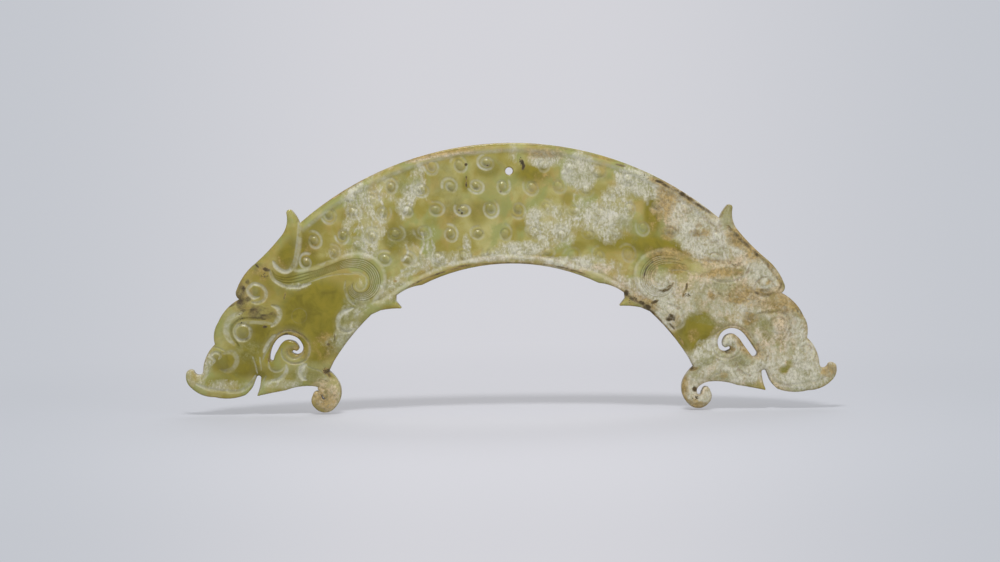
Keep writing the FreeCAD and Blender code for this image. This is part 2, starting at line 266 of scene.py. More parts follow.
# Carved lines of the left head, which are mirrored for the right one
HEAD_STROKES = (
    Stroke(((299, 222), (298.6, 235), (296.6, 250), (295.4, 258), (292.6, 264.5), (290.0, 267.4)), 2.8,
        0.2, 0.6),
    Stroke(((294.0, 266.0), (290.6, 269.8), (285.5, 271.7), (280.0, 269.8), (276.0, 266.4),
        (273.2, 261.0)), 4.2, 0.28, 0.9),
    Stroke(((269.6, 269.4), (271.4, 275.0), (275.0, 280.4), (281.0, 284.4), (287.0, 286.5),
        (294.0, 287.0), (302.0, 286.0), (311.0, 283.4)), 3.6, 0.24, 0.85),
    Stroke(((306, 283.6), (320, 278.3), (330, 275.6), (340.7, 274), (349.3, 274), (356.4, 273.6),
        (361.5, 275.5)), 1.6, 0.08, 0.4),
    Stroke(((251.7, 302), (255, 303), (260.3, 302.3), (264.3, 299.7), (266.3, 295), (265.7, 291),
        (263, 287), (258.3, 284.3), (253.7, 283.7), (251, 285.7), (248.3, 288.3), (248, 291.7),
        (250, 295), (253.7, 297.7), (257.7, 297.3), (259.7, 296)), 3.4, 0.24, 0.75, 0.1),
    Stroke(((271.7, 305.2), (276.3, 307), (279, 310.3), (279.6, 315), (277.7, 319.7), (275, 323.7),
        (271, 326.3)), 5.0, 0.28, 0.85, 0.35),
    Stroke(((265, 319.6), (256, 318.9), (247, 318.3), (240.5, 319.2), (235.3, 322.4), (232, 327),
        (231.2, 332), (232.6, 337), (235.6, 341.5), (238.8, 346)), 3.2, 0.2, 0.0, 0.12),
    Stroke(((272.5, 323.4), (263, 322.8), (254, 322.2), (246, 322.8), (240.5, 324.4), (236.3, 328)),
        3.4, 0.06, 0.5),
    Stroke(((242, 312.6), (234, 315.8), (228.6, 320.6), (226.2, 327), (226.4, 333.6), (229.2, 339.6),
        (234, 344.6)), 5.4, 0.16, 0.8, 0.3),
    Stroke(((263.4, 352.4), (266.6, 345.6), (270.2, 340.4), (275.4, 334.6)), 3.4, 0.2, 0.9),
    Stroke(((262.4, 361.0), (264.6, 354.0), (269.4, 345.6), (275.4, 337.4), (281.3, 332.6),
        (288.3, 330.8), (296, 332.4), (303.0, 336.4), (308.0, 342.4), (309.6, 350), (307.6, 357),
        (303.4, 361.6), (296.6, 363.6), (290.6, 363.2), (284.8, 359.9), (281.4, 354.5), (281.9, 348.5)),
        2.6, 0.24, 0.36, 0.1),
    Stroke(((286.5, 351.2), (287.8, 355.5), (291.5, 358.6), (296.4, 358.4), (301.0, 355.4),
        (303.6, 350.0)), 2.4, 0.18, 0.3),
    Stroke(((252.5, 357), (255.5, 366), (257.2, 373.5)), 1.6, 0.12, 0.6),
    Stroke(((259.6, 357), (260.6, 364), (261.2, 370.5)), 1.6, 0.12, 0.6),
    Stroke(((268.4, 361.8), (269.2, 367.0), (272.0, 370.6), (276.4, 371.8), (281.0, 370.4),
        (284.6, 366.8)), 2.2, 0.16, 0.5),
    Stroke(((286.0, 364.6), (286.4, 370.0), (283.8, 375.6), (278.6, 379.6), (271.6, 381.4)), 4.2, 0.24,
        0.85, 0.3),
    Stroke(((306.3, 364.2), (302, 366.7), (300, 370.7), (300.7, 375.3), (302.7, 378.7), (306.3, 379.9)),
        5.0, 0.26, 0.8, 0.3),
    Stroke(((306.7, 366), (311.5, 368.6), (316.7, 370), (322, 372.7), (326.5, 378)), 1.8, 0.12, 0.4),
    Stroke(((208.6, 348.8), (213.6, 347.1), (220, 348.6), (225, 351.4)), 2.0, 0.14, 0.45),
    Stroke(((212.3, 364.2), (214.0, 360.6), (210.6, 356.4), (213.6, 352.9), (217.9, 352.9),
        (220.3, 355.7), (218.6, 359.2)), 3.0, 0.24, 0.8),
    Stroke(((223, 353.6), (230.7, 352), (235, 355), (236.9, 360), (235, 365.4), (231.4, 369.6),
        (225.7, 371.2), (219.5, 369.6)), 4.6, 0.12, 0.5, 0.25),
    Stroke(((204.6, 361.5), (207.6, 366.0), (208.0, 371.0), (205.4, 376.4), (201.8, 380.2)), 2.6, 0.14,
        0.55),
    Stroke(((196.0, 384.2), (203.6, 387.6), (213.6, 390.0), (225, 391.3), (235, 392.0), (242, 390.5),
        (247.6, 386.6), (251.9, 381.6), (255.2, 375.6)), 4.0, 0.2, 0.75),
    Stroke(((265.9, 376), (263.6, 381.4), (260.9, 387), (258.2, 392.6)), 2.6, 0.14, 0.6),
    Stroke(((353.5, 307.8), (346.4, 310.7), (341.4, 313.6), (338.6, 318), (338, 323), (339.3, 328),
        (343, 331.4), (347, 332.2), (351.4, 330.4)), 4.8, 0.28, 0.95, 0.28),
    Stroke(((345.6, 280.6), (344.9, 288.6), (346.9, 295.7), (350.3, 301.3), (355.5, 305.0)), 2.8, 0.16,
        0.5, 0.3),
    Stroke(((352.0, 272.0), (359.6, 272.6), (365.2, 276.4), (367.0, 282.6), (364.6, 288.0),
        (359.6, 289.6), (356.0, 287.0), (356.4, 282.6)), 1.8, 0.08, 0.4),
    Stroke(((352.4, 318.6), (356.0, 314.4), (362.0, 311.8), (368.0, 307.4)), 1.6, 0.1, 0.3),
)

# The plume's lines lie between these two
HAIR_OUTER = (
    (272.0, 269.5), (275.2, 274.4), (280.3, 276.7), (288.1, 277.5), (297.2, 275.4), (307.6, 272.6),
    (318.1, 270.0), (329.8, 265.7), (340.2, 261.6), (348.6, 259.4), (357.2, 258.7), (366.3, 260.5),
    (374.1, 265.9), (379.0, 273.4), (380.4, 281.9), (378.2, 290.1), (372.6, 296.9), (364.6, 300.2),
    (356.0, 299.0), (350.0, 294.6), (347.4, 287.6),
)
HAIR_INNER = (
    (272.4, 272.6), (276.3, 279.7), (282.9, 283.2), (290.7, 284.1), (299.8, 282.5), (310.2, 279.3),
    (319.4, 275.9), (329.8, 272.2), (340.2, 268.9), (348.1, 267.4), (355.9, 267.6), (363.0, 269.8),
    (368.3, 274.4), (370.2, 280.6), (369.6, 286.5), (366.3, 291.0), (361.1, 292.9), (355.9, 291.6),
    (353.2, 288.4), (352.6, 285.2), (353.4, 282.0),
)

# Middle lines of the slots, their widths at shares of their length, and what closes the left curl
LEFT_SLOT = (
    (271.5, 359.0), (272.3, 354.5), (274.4, 349.1), (278.0, 342.8), (282.5, 338.9), (287.9, 337.6),
    (294.2, 339.1), (298.3, 342.3), (300.9, 347.3), (299.9, 351.0), (296.8, 352.8), (293.6, 352.0),
)
RIGHT_SLOT = (
    (754.4, 353.6), (750.4, 348), (746, 341.7), (741.5, 335.7), (736, 331.8), (730, 331.2),
    (724.5, 333.7), (721.2, 338.5), (720.3, 343.5), (721.8, 347.7), (725.4, 349.6), (729.0, 348.4),
)
SLOT_SHARES = (0.0, 0.2, 0.5, 0.8, 1.0)
SLOTS = (
    (LEFT_SLOT, (4.0, 6.4, 5.4, 4.4, 3.4)),
    (RIGHT_SLOT, (6.4, 7.0, 6.0, 4.8, 3.8)),
)
LEFT_CURL_FILLS = ((322.6, 391.4, 4.6), (319.8, 388.6, 2.6), (325.6, 395.6, 3.4))

EYE = (242.6, 332.4)
RINGS = (
    Stroke(ring(*EYE, 8.2), 3.4, 0.24, 0.75, NO_TAPER),
    Stroke(ring(299.3, 315.7, 7.5), 1.1, 0.04, 0.12, NO_TAPER),
)

# Clear stone in the middle of eyes, scrolls and nostrils: place, radius in squares, strength
CLEAR_CENTRES = (
    (EYE, 5.0, 0.8), ((255.4, 290.8), 4.6, 0.9), ((222, 361), 4.6, 0.8), ((239, 346.6), 2.8, 0.9),
    ((293, 347.4), 3.0, 0.5), ((276, 316), 2.6, 0.5), ((350, 320), 5.0, 0.4),
)
RIGHT_CENTRE_SHARE = 0.4

# Soft swells of the heads: place, radius and height in millimetres
SWELLS = (
    (EYE, 1.35, 0.34), ((255.3, 290.8), 1.1, 0.3), ((300, 316), 7.0, 0.16), ((293.5, 347), 1.5, 0.24),
    ((222, 362), 2.4, 0.24), ((347, 321), 2.4, 0.2), ((360, 284), 2.2, 0.2), ((323, 397), 2.2, 0.14),
    ((288, 240), 3.0, 0.12), ((262, 268), 3.0, 0.12), ((236, 312), 2.6, 0.12), ((264, 366), 1.6, 0.14),
    ((312, 371), 2.2, 0.14), ((336, 362), 2.4, 0.1),
)

# The left end of the sunken field, from its upper to its lower corner
FIELD_END = (
    (299.3, 226), (299.6, 240), (297.8, 254), (295.6, 264), (294.2, 269.8), (300, 271.2), (310, 269.4),
    (320, 266.0), (330, 262.6), (340, 258.4), (348, 255.0), (357, 253.8), (366, 255.4), (375, 259.6),
    (381, 266), (384, 274), (383.8, 283.5), (380.6, 292.0), (374.0, 299.0), (372.0, 303.0),
)

# Middles of the grains and how fresh each one is
GRAINS = (
    (432, 166.5, 0.8), (459.7, 165.3, 0.9), (486.5, 163, 0.9), (543, 165.3, 0.55), (570, 168.2, 0.3),
    (598, 172.8, 0.35), (628, 179, 0.6), (391, 187, 0.9), (421.4, 189.7, 0.85), (450.5, 186, 0.9),
    (476.5, 186, 0.9), (502.6, 186, 1.0), (531.6, 187.5, 0.7), (558.4, 186, 0.55), (586, 190, 0.3),
    (612, 193, 0.3), (350, 196.5, 0.5), (371, 199, 0.4), (407.7, 210.4, 0.9), (436, 209.6, 0.7),
    (463.5, 209.6, 1.0), (490.3, 209, 0.9), (518.5, 209.6, 0.75), (547, 207.6, 0.3), (574, 210.5, 0.25),
    (601, 213, 0.3), (628.8, 208.6, 0.55), (656.5, 204.8, 0.6), (685.5, 208, 0.5), (395.3, 233.7, 0.7),
    (423.7, 231.8, 0.6), (450.5, 234, 1.0), (478, 233.4, 0.85), (505, 233.4, 0.7), (534, 231.6, 0.3),
    (562.3, 235, 0.6), (589, 234, 0.35), (616, 232.4, 0.3), (643, 228, 0.5), (671.4, 231.3, 0.75),
    (699.6, 231.3, 0.6), (407.7, 259.5, 0.8), (438.3, 258.4, 0.8), (464.3, 256.0, 0.7), (492, 253.6, 0.35),
    (520, 253.6, 0.3), (547.7, 252, 0.6), (573, 254.6, 0.35), (599, 255, 0.5), (628, 254, 0.5),
    (306.4, 262, 1.0), (314.6, 240.7, 0.8), (329.5, 215.0, 0.9), (334.3, 252.4, 0.6), (343, 235.6, 1.0),
    (353.2, 212.2, 0.8), (372.2, 236.5, 0.9), (383, 213.6, 0.9), (384.8, 259, 0.9), (358.6, 245.0, 0.4),
    (713.7, 256.8, 0.75), (734.4, 254.5, 0.6), (716, 236.6, 0.5),
)

# Patches of altered stone, clear stone and soil, laid in this order
ZONES = {
    Mark.CALCITE: blobs(
        (361, 198, 15, 22, 0.62, 20), (374, 222, 12, 20, 0.6, -10), (352, 224, 12, 12, 0.4),
        (366, 244, 11, 14, 0.6, -15), (340, 252, 15, 8, 0.35), (407, 200, 8, 20, 0.6, 20),
        (418, 180, 8, 18, 0.6, 10), (412, 246, 13, 13, 0.2), (430, 238, 8, 20, 0.25),
        (428, 264, 14, 9, 0.75), (467, 247, 5, 12, 0.6), (388, 188, 20, 14, 0.35),
        (455, 257, 26, 6, 0.4), (520, 250, 26, 9, 0.8), (494, 256, 20, 5, 0.6), (580, 172, 15, 17, 1.0),
        (546, 160, 16, 7, 0.75), (638, 181, 20, 15, 0.9, 25), (657, 194, 10, 9, 0.5),
        (560, 222, 13, 20, 0.75, -15), (611, 216, 19, 24, 0.85), (584, 210, 10, 18, 0.6),
        (541, 222, 14, 18, 0.45), (556, 238, 16, 10, 0.5), (566, 263, 22, 6, 0.7),
        (603, 265, 20, 8, 0.6, 15), (512, 152, 6, 10, 0.5), (360, 306, 20, 9, 0.65, -25),
        (345, 336, 17, 9, 0.75, -40), (330, 343, 12, 12, 0.35), (302, 372, 6, 8, 0.55),
        (283, 384, 18, 5, 0.45), (228, 386, 26, 6, 0.42, 5), (206, 362, 6, 14, 0.6, 10),
        (193, 376, 7, 11, 0.45, -20), (325, 393, 10, 12, 0.2), (394, 290, 16, 12, 0.6, -20),
        (296, 286, 14, 4, 0.35), (640, 287, 26, 9, 0.8, 22), (700, 222, 34, 25, 0.85, 20),
        (676, 196, 16, 9, 0.7, 35), (716, 246, 26, 17, 0.9), (762, 276, 17, 15, 0.9),
        (666, 284, 15, 12, 0.75), (668, 312, 14, 17, 0.85, 20), (704, 300, 26, 22, 0.45),
        (740, 312, 24, 12, 0.5), (700, 362, 18, 16, 0.75), (740, 372, 32, 12, 0.9, -5),
        (722, 350, 20, 14, 0.6), (806, 372, 30, 18, 1.0, -10), (797, 340, 12, 24, 0.85),
        (776, 356, 16, 20, 0.7), (700, 392, 17, 16, 0.6), (792, 316, 12, 10, 0.6),
        (765, 330, 12, 14, 0.4), (756, 270, 10, 9, 0.9), (808, 342, 10, 12, 1.0),
        (812, 372, 20, 12, 1.0), (774.5, 283, 3, 3, 1.0), (741, 372, 22, 7, 0.9),
        (726, 345, 12, 8, 0.6), (703, 348, 10, 14, 0.6), (578, 174, 12, 12, 1.0),
        (522, 247, 19, 6, 0.95), (535, 222, 10, 16, 0.6), (764, 277, 11, 9, 1.0),
        (808, 350, 11, 14, 1.0), (806, 378, 20, 9, 0.9, -12), (364, 282, 5, 6, 0.5),
        (700, 325, 15, 11, -1.0), (690, 337, 7, 13, -1.0), (764, 330, 5, 5, -0.8),
        (784, 370, 5, 4, -1.0), (789, 364, 4, 5, -0.9), (792, 350, 4, 9, -0.7, 12),
    ),
    Mark.CREAM: blobs(
        (700, 218, 40, 26, 1.0, 30), (672, 205, 17, 22, 0.9), (722, 248, 32, 25, 1.0, 30),
        (750, 266, 30, 25, 1.0, 30), (726, 290, 34, 26, 0.7), (776, 300, 30, 24, 0.7),
        (796, 345, 34, 44, 0.9), (746, 350, 45, 38, 0.75), (700, 390, 22, 24, 1.0),
        (640, 291, 32, 10, 0.95, 22), (665, 308, 20, 22, 0.85, 25), (686, 296, 26, 26, 0.5),
        (560, 265, 60, 5, 0.6, 5), (655, 280, 18, 12, 0.7), (325, 396, 16, 16, 0.8),
        (546, 155, 18, 6, 0.7), (694, 366, 16, 16, 0.6), (800, 330, 16, 20, 0.9), (830, 370, 8, 9, 1.0),
        (742, 374, 24, 9, 0.8), (700, 325, 15, 11, -1.0), (690, 337, 7, 13, -1.0),
        (784, 370, 5, 4, -0.9), (789, 364, 4, 5, -0.8),
    ),
    Mark.BROWN: blobs(
        (666, 200, 11, 18, 0.75, 15), (670, 232, 10, 7, 0.8), (734, 240, 12, 6, 0.6, 30),
        (754, 258, 8, 9, 0.55), (722, 272, 22, 5, 0.85, -5), (706, 262, 12, 6, 0.5),
        (738, 293, 11, 8, 0.4), (766, 300, 34, 24, 0.3), (712, 294, 8, 6, 0.25),
        (784, 304, 15, 8, 0.65, 28), (748, 318, 12, 6, 0.5), (685, 390, 3, 16, 0.6),
        (700, 405, 12, 3.4, 0.7), (668, 258, 22, 9, 0.55, 20), (640, 300, 18, 4, 0.6, 25),
        (252, 313, 22, 8, 0.8, 8), (244, 291, 9, 13, 0.7), (262, 272, 18, 9, 0.35),
        (322, 347, 16, 15, 0.4), (296, 352, 10, 9, 0.65), (321, 402, 12, 9, 0.55),
        (280, 262, 9, 10, 0.3), (308, 250, 12, 14, 0.35), (470, 214, 30, 10, 0.25),
        (545, 184, 26, 12, 0.3), (760, 352, 8, 8, 0.5), (829, 370, 7, 8, 0.6), (745, 340, 8, 12, 0.5),
        (323, 396, 12, 13, 0.55), (757, 250, 6, 14, 0.6, -45), (725, 262, 16, 5, 0.5),
        (748, 316, 6, 4, 0.6), (800, 300, 6, 22, 0.5, -20), (764, 293, 12, 3, 0.8, 8),
        (540, 152, 24, 6, 0.5), (485, 150, 30, 5, 0.45), (478, 190, 16, 14, 0.2), (668, 235, 6, 5, 0.8),
        (700, 233, 12, 4, 0.8), (668, 255, 22, 7, 0.8, -4), (651, 266, 7, 13, 0.7, 20),
        (678, 269, 11, 5, 0.8, -15), (714, 272, 5, 3, 0.8), (730, 272, 12, 3.4, 1.0, 4),
        (712, 296, 4, 2.4, 0.8, 40), (738, 300.5, 9, 2.4, 0.9), (766, 291, 8, 3, 0.9, 10),
        (753, 254, 6, 5, 0.8, 30), (738, 241, 12, 5, 0.8, 42), (782, 307, 12, 5, 0.85, 20),
        (748, 321, 4.4, 4, 1.0), (694, 334, 7, 8, 0.6), (747, 347, 3, 7, 0.9, -30),
        (732, 349, 4, 3, 1.0), (830, 371, 7, 6, 0.5), (724, 375, 6, 3, 0.6), (684, 390, 4, 12, 0.8),
        (690, 403, 10, 4, 0.7), (648, 303, 14, 4, 0.8, 25), (628, 291, 8, 5, 0.7),
        (657, 224, 9, 16, 0.5), (672, 317, 9, 8, 0.5),
    ),
    Mark.CLEAR: blobs(
        (316, 315, 42, 34, 1.0, -30), (288, 262, 12, 26, 0.9, 12), (262, 282, 16, 18, 0.6),
        (240, 365, 28, 12, 1.0, 5), (258, 340, 18, 20, 0.75), (308, 250, 10, 20, 0.7),
        (330, 262, 20, 5, 0.5), (318, 345, 18, 18, 0.8), (470, 186, 40, 22, 0.2),
        (485, 212, 50, 12, 0.22), (535, 175, 24, 14, 0.3), (596, 190, 22, 8, 0.4),
        (652, 214, 9, 24, 0.8), (640, 244, 52, 9, 0.8, 4), (690, 252, 14, 9, 0.8, 20),
        (694, 330, 20, 16, 0.95), (716, 322, 16, 6, 0.8), (400, 236, 22, 14, 0.2),
        (768, 326, 8, 12, 0.45), (785, 366, 6, 9, 0.55), (740, 362, 14, 7, 0.4), (727, 212, 8, 12, 0.5),
        (330, 240, 26, 20, 0.3), (665, 262, 26, 8, 0.5, 25), (700, 325, 16, 12, 1.0),
        (690, 338, 8, 14, 0.9), (488, 169, 14, 8, 0.5), (532, 172, 15, 9, 0.6), (454, 214, 9, 12, 0.35),
        (478, 214, 10, 14, 0.35), (466, 184, 4, 8, 0.5), (520, 226, 7, 6, 0.5), (398, 214, 6, 11, 0.4),
        (300, 377, 26, 7, 0.45), (222, 383, 24, 7, 0.45), (268, 372, 10, 8, 0.5),
        (258, 345, 62, 46, 0.25), (413, 235, 12, 9, 0.6), (392, 236, 10, 14, 0.6),
        (440, 250, 9, 12, 0.4), (431, 222, 8, 5, 0.4), (567, 199, 6, 7, 0.5), (578, 246, 8, 6, 0.5),
        (345, 214, 9, 8, 0.4), (318, 226, 8, 9, 0.4), (395, 250, 8, 8, 0.4), (786, 368, 7, 5, 0.7, -30),
    ),
    Mark.GREEN: blobs(
        (445, 195, 20, 30, 0.5), (490, 165, 20, 10, 0.5), (345, 320, 10, 26, 0.6, 20),
        (232, 374, 8, 5, 0.3), (365, 322, 10, 10, 0.6), (570, 152, 40, 6, 0.5), (727, 214, 8, 14, 0.9),
        (745, 240, 24, 5, 0.7, 45), (790, 285, 14, 5, 0.6, 55), (735, 358, 20, 8, 0.45),
        (697, 366, 18, 6, 0.6, -30), (752, 322, 8, 8, 0.8), (720, 285, 14, 10, 0.5),
        (700, 318, 30, 6, 0.5, 10), (776, 265, 3, 12, 0.6, -40), (792, 350, 4, 9, 0.5, 12),
        (752, 340, 5, 10, 0.7), (722, 376, 30, 5, 0.4), (300, 372, 40, 10, 0.5),
        (345, 345, 12, 14, 0.6, 45), (360, 300, 14, 8, 0.5), (322, 372, 12, 10, 0.6),
        (398, 172, 20, 8, 0.4, -25), (405, 262, 20, 12, 0.4), (703, 300, 14, 14, 0.3),
        (735, 270, 14, 6, 0.4), (625, 230, 16, 14, 0.5), (404, 238, 20, 12, 0.5),
        (400, 186, 14, 12, 0.4), (590, 178, 20, 6, 0.4), (765, 318, 16, 8, 0.35),
        (781, 282, 3, 8, 0.7, -20), (803, 308, 5, 16, 0.7, -18), (716, 308, 18, 6, 0.35),
        (313, 378, 5, 6, 0.7), (720, 302, 12, 8, 0.4), (750, 328, 5, 4, 1.0), (768, 329, 7, 10, 0.9),
        (785, 369, 8, 4, 0.9, -30), (764, 330, 5, 6, 0.8), (740, 361, 11, 6, 0.9),
        (706, 363, 14, 2.6, 0.9, -38), (782, 274, 3, 9, 1.0, -25), (771, 262, 3, 9, 1.0, -42),
        (797, 312, 4, 8, 0.9, -40), (714, 252, 8, 6, 0.5), (705, 226, 6, 8, 0.35),
        (232, 318, 12, 26, 0.35, 15), (262, 296, 14, 8, 0.3), (250, 352, 20, 12, 0.4),
    ),
    Mark.SOIL: blobs(
        (248.3, 299, 3.0, 2.6, 0.9), (239.5, 302, 3.4, 2.0, 0.6, -30), (232, 305, 3.6, 1.4, 0.6, -30),
        (262, 313, 18, 7, 0.36), (247, 303, 10, 7, 0.36), (241, 294, 6, 13, 0.34),
        (259, 268, 9, 6, 0.16), (247.7, 281.7, 2.0, 3.0, 0.5), (244, 288, 1.8, 2.4, 0.6),
        (244.3, 310.3, 2.2, 1.4, 0.6), (252, 310, 2.4, 1.4, 0.5), (266, 314.6, 6.0, 1.1, 0.6, -8),
        (258, 317.3, 5.0, 1.2, 0.6), (265, 326.7, 2.4, 1.2, 0.8), (257.5, 266, 2.6, 0.8, 0.6, 50),
        (266.3, 269.3, 3.6, 1.6, 0.8, 15), (285.3, 294, 0.9, 2.2, 0.8), (284.3, 297.6, 0.8, 2.0, 0.7),
        (326.7, 371.3, 3.4, 3.0, 1.0), (329, 375.4, 1.4, 3.0, 0.8, -35), (334.7, 338, 0.8, 3.4, 0.7),
        (328.3, 344.3, 1.6, 1.4, 0.6), (285.6, 334.4, 3.2, 1.6, 0.8, -20),
        (278.6, 338.6, 1.6, 4.6, 0.6, 40), (522.6, 163, 1.3, 3.2, 1.0, -10),
        (523.4, 167.2, 1.4, 2.8, 1.0, 25), (466, 164.5, 1.4, 1.4, 0.9), (466.4, 178, 0.9, 2.4, 0.7),
        (466.2, 184.5, 1.0, 2.8, 0.8), (459, 210, 1.2, 1.2, 0.8), (462, 213, 1.2, 1.2, 0.7),
        (500.6, 191.4, 1.4, 1.4, 0.7), (487.4, 165.4, 1.6, 1.0, 0.8), (659, 181.6, 4.0, 1.3, 1.0, 20),
        (676, 190.6, 3.0, 1.6, 0.9, 30), (682, 194, 3.0, 2.2, 1.0, 30), (690, 199, 6.0, 1.4, 0.8, 32),
        (700, 206, 6.0, 1.3, 0.8, 34), (709, 212, 5.0, 1.2, 0.7, 36), (620, 165.2, 5.0, 1.2, 0.6, 15),
        (647, 267, 0.9, 4.0, 0.9, 35), (644.4, 274, 0.8, 4.0, 0.7, 15), (669, 286, 0.9, 2.6, 0.7, 60),
        (664, 290, 3.0, 0.9, 0.7, -20), (686.4, 287, 1.1, 4.2, 0.9, 10),
        (683.6, 293.4, 1.0, 3.6, 0.8, 15), (671, 317, 5.0, 3.2, 0.75, -20),
        (671, 315.4, 2.6, 1.4, 1.0, 40), (674, 318.6, 1.4, 2.8, 1.0), (669, 319.6, 2.8, 1.2, 0.9),
        (626.5, 293, 2.4, 3.0, 1.0), (632, 299, 3.0, 1.4, 0.8, 25), (641.4, 302.6, 3.0, 2.0, 1.0, 25),
        (648, 306.4, 3.0, 1.6, 1.0, 30), (655, 301.4, 4.0, 1.4, 0.6, -20),
        (683, 373, 3.0, 2.0, 0.9, -40), (694, 369, 4.0, 1.8, 0.8, -15), (688, 362, 1.4, 4.0, 0.5),
        (728, 351, 3.4, 2.4, 0.8, 20), (753.4, 354.4, 3.0, 2.0, 0.8, 30), (695, 389.4, 2.4, 2.4, 0.9),
        (756.6, 254.6, 1.6, 3.4, 0.7, -20), (797, 309, 1.6, 3.6, 0.7, -20),
        (740, 240, 4.0, 1.0, 0.6, 42), (729, 227, 4.0, 1.0, 0.6, 40), (465, 265.4, 7.0, 0.9, 0.8, -6),
        (440, 273.0, 7.0, 0.9, 0.6, -16), (520, 264.0, 9.0, 0.8, 0.5), (672, 326, 5.0, 1.0, 0.7, 50),
        (681, 340, 5.0, 1.0, 0.6, 60), (395, 281, 1.8, 1.2, 0.6),
    ),
}

# Soft lines of the same marks
TRACES = {
    Mark.CALCITE: traces(
        (((352, 190), (357, 202), (356, 214), (362, 226), (364, 240), (369, 251)), 3.0, 1.0),
        (((371, 188), (369, 200), (374, 212), (372, 226), (378, 238)), 2.6, 0.95),
        (((384, 184), (379, 196), (384, 208), (380, 222)), 2.2, 0.8),
        (((364, 182), (361, 196), (365, 210), (359, 224), (352, 236)), 2.0, 0.8),
        (((346, 196), (349, 210), (345, 222)), 2.0, 0.7),
        (((419, 172), (412, 184), (415, 196), (406, 208), (402, 222)), 2.8, 0.9),
        (((426, 176), (424, 190), (427, 202)), 1.8, 0.45),
        (((466, 236), (468, 246), (471, 256)), 2.6, 0.7),
        (((429, 238), (427, 248), (431, 258), (426, 270)), 3.0, 0.6),
        (((416, 244), (420, 254), (414, 264)), 2.4, 0.5),
        (((385, 283), (420, 269.5), (460, 261.4), (500, 258.2), (540, 258.8), (580, 264.8),
            (620, 279)), 5.0, 0.7),
        (((612, 168), (622, 178), (636, 184), (650, 190)), 3.6, 0.6),
        (((578, 186), (574, 200), (580, 214), (576, 228)), 3.4, 0.6),
        (((421, 230), (424, 243), (420, 256), (424, 269)), 2.4, 1.0),
        (((405, 243), (408, 252), (402, 262)), 2.2, 0.9),
        (((431, 238), (434, 250), (428, 262)), 2.4, 0.9),
        (((400, 272), (410, 268), (420, 266)), 3.0, 0.8),
    ),
    Mark.CREAM: traces(
        (((466, 260.8), (500, 257.8), (540, 258.4), (580, 264.4)), 4.6, 0.7),
        (((400, 164.4), (430, 157.4), (462, 153.2), (486, 151.4)), 3.0, 0.8),
        (((306, 216.5), (326, 202.4), (346, 189.6), (372, 175.6), (400, 164.6)), 3.0, 0.4),
    ),
    Mark.BROWN: traces(
        (((269.4, 345.6), (275.4, 337.4), (281.3, 332.6), (288.3, 330.8), (296, 332.4),
            (303.0, 336.4), (308.0, 342.4), (309.6, 350), (307.6, 357), (303.4, 361.6), (296.6, 363.6),
            (290.6, 363.2), (284.8, 359.9)), 3.0, 0.75),
        (((291, 356), (296, 357), (300.5, 355)), 1.8, 0.9),
        (((266.6, 358), (268.6, 360.6), (269, 363)), 1.8, 1.0),
        (((738, 285), (746, 289), (747, 296), (742, 301), (734, 301), (729.5, 296), (731, 289)),
            2.8, 0.9),
        (((712, 272), (722, 269), (732, 270), (741, 268)), 4.0, 0.9),
        (((757, 281), (764, 285), (771, 281)), 3.4, 0.8),
        (((744, 326), (748, 332), (746, 339)), 3.4, 0.7),
        (((739.5, 340), (743, 346), (744, 352)), 3.4, 0.85),
        (((730, 226), (742, 240), (756, 252), (766, 262)), 3.4, 0.6),
        (((286, 341), (294, 343.5), (297, 349), (292, 355), (285, 352)), 2.6, 0.5),
        (((268, 360), (270, 352), (275, 343), (283, 335.6), (293, 334.4), (301.6, 339)), 2.4, 0.7),
        (((395, 163.8), (430, 155.4), (460, 150.8), (494, 147.4)), 3.4, 0.8),
        (((318, 208), (332, 198.4), (348, 188.6), (366, 178.8)), 2.0, 0.85),
        (((645, 176), (672, 190.5), (700, 208.5), (716, 219.0)), 4.4, 0.7),
        (((730, 224), (752, 246), (772, 266), (782, 282)), 5.0, 0.55),
        (((786, 290), (798, 302), (804, 320)), 5.0, 0.5),
    ),
    Mark.SOIL: traces(
        (((365, 322), (352, 338), (340, 354), (329, 369)), 2.4, 0.55),
        (((752, 291.5), (762, 293.5), (772, 293), (779, 289), (781.5, 282), (780, 275)), 2.6, 0.5),
        (((643.6, 276), (645.6, 270), (649, 264.6), (654, 260)), 1.6, 0.7),
        (((658, 289.6), (664, 291), (670, 287.6), (674, 281)), 1.8, 0.6),
        (((620, 290), (640, 303), (658, 318), (674, 338), (686, 360)), 2.6, 0.6),
        (((400, 291), (430, 276.6), (470, 265.4), (520, 262.8), (560, 266.8), (600, 279)), 1.8,
            0.45),
        (((236, 298), (226, 307), (219, 318)), 2.6, 0.5),
        (((722, 222), (745, 243), (765, 262), (779, 280), (782, 290)), 3.4, 0.5),
        (((786, 288), (797, 300), (803, 316)), 3.0, 0.45),
        (((254, 306), (265, 311), (276, 316)), 6.0, 0.34),
        (((640, 303), (655, 316), (668, 334)), 5.0, 0.3),
        (((655, 180), (680, 194), (712, 215)), 2.2, 0.6),
        (((520, 143.6), (560, 148), (620, 163)), 2.4, 0.3),
    ),
}


def spline(points: np.ndarray, step: float) -> np.ndarray:
    """Runs a smooth curve through points.

    Args:
        points: X and Z of the points.
        step: Rough distance between samples, in metres.

    Returns:
        X and Z of the samples.
    """
    padded = np.vstack([2 * points[0] - points[1], points, 2 * points[-1] - points[-2]])
    rows = []
    for before, here, there, after in zip(padded, padded[1:], padded[2:], padded[3:]):
        count = max(2, int(np.ceil(np.linalg.norm(there - here) / step)))
        share = np.linspace(0, 1, count, endpoint=False)[:, None]
        square = (2 * before - 5 * here + 4 * there - after) * share**2
        cube = (3 * here - before - 3 * there + after) * share**3
        rows.append(0.5 * (2 * here + (there - before) * share + square + cube))
    rows.append(points[-1:])
    return np.vstack(rows)


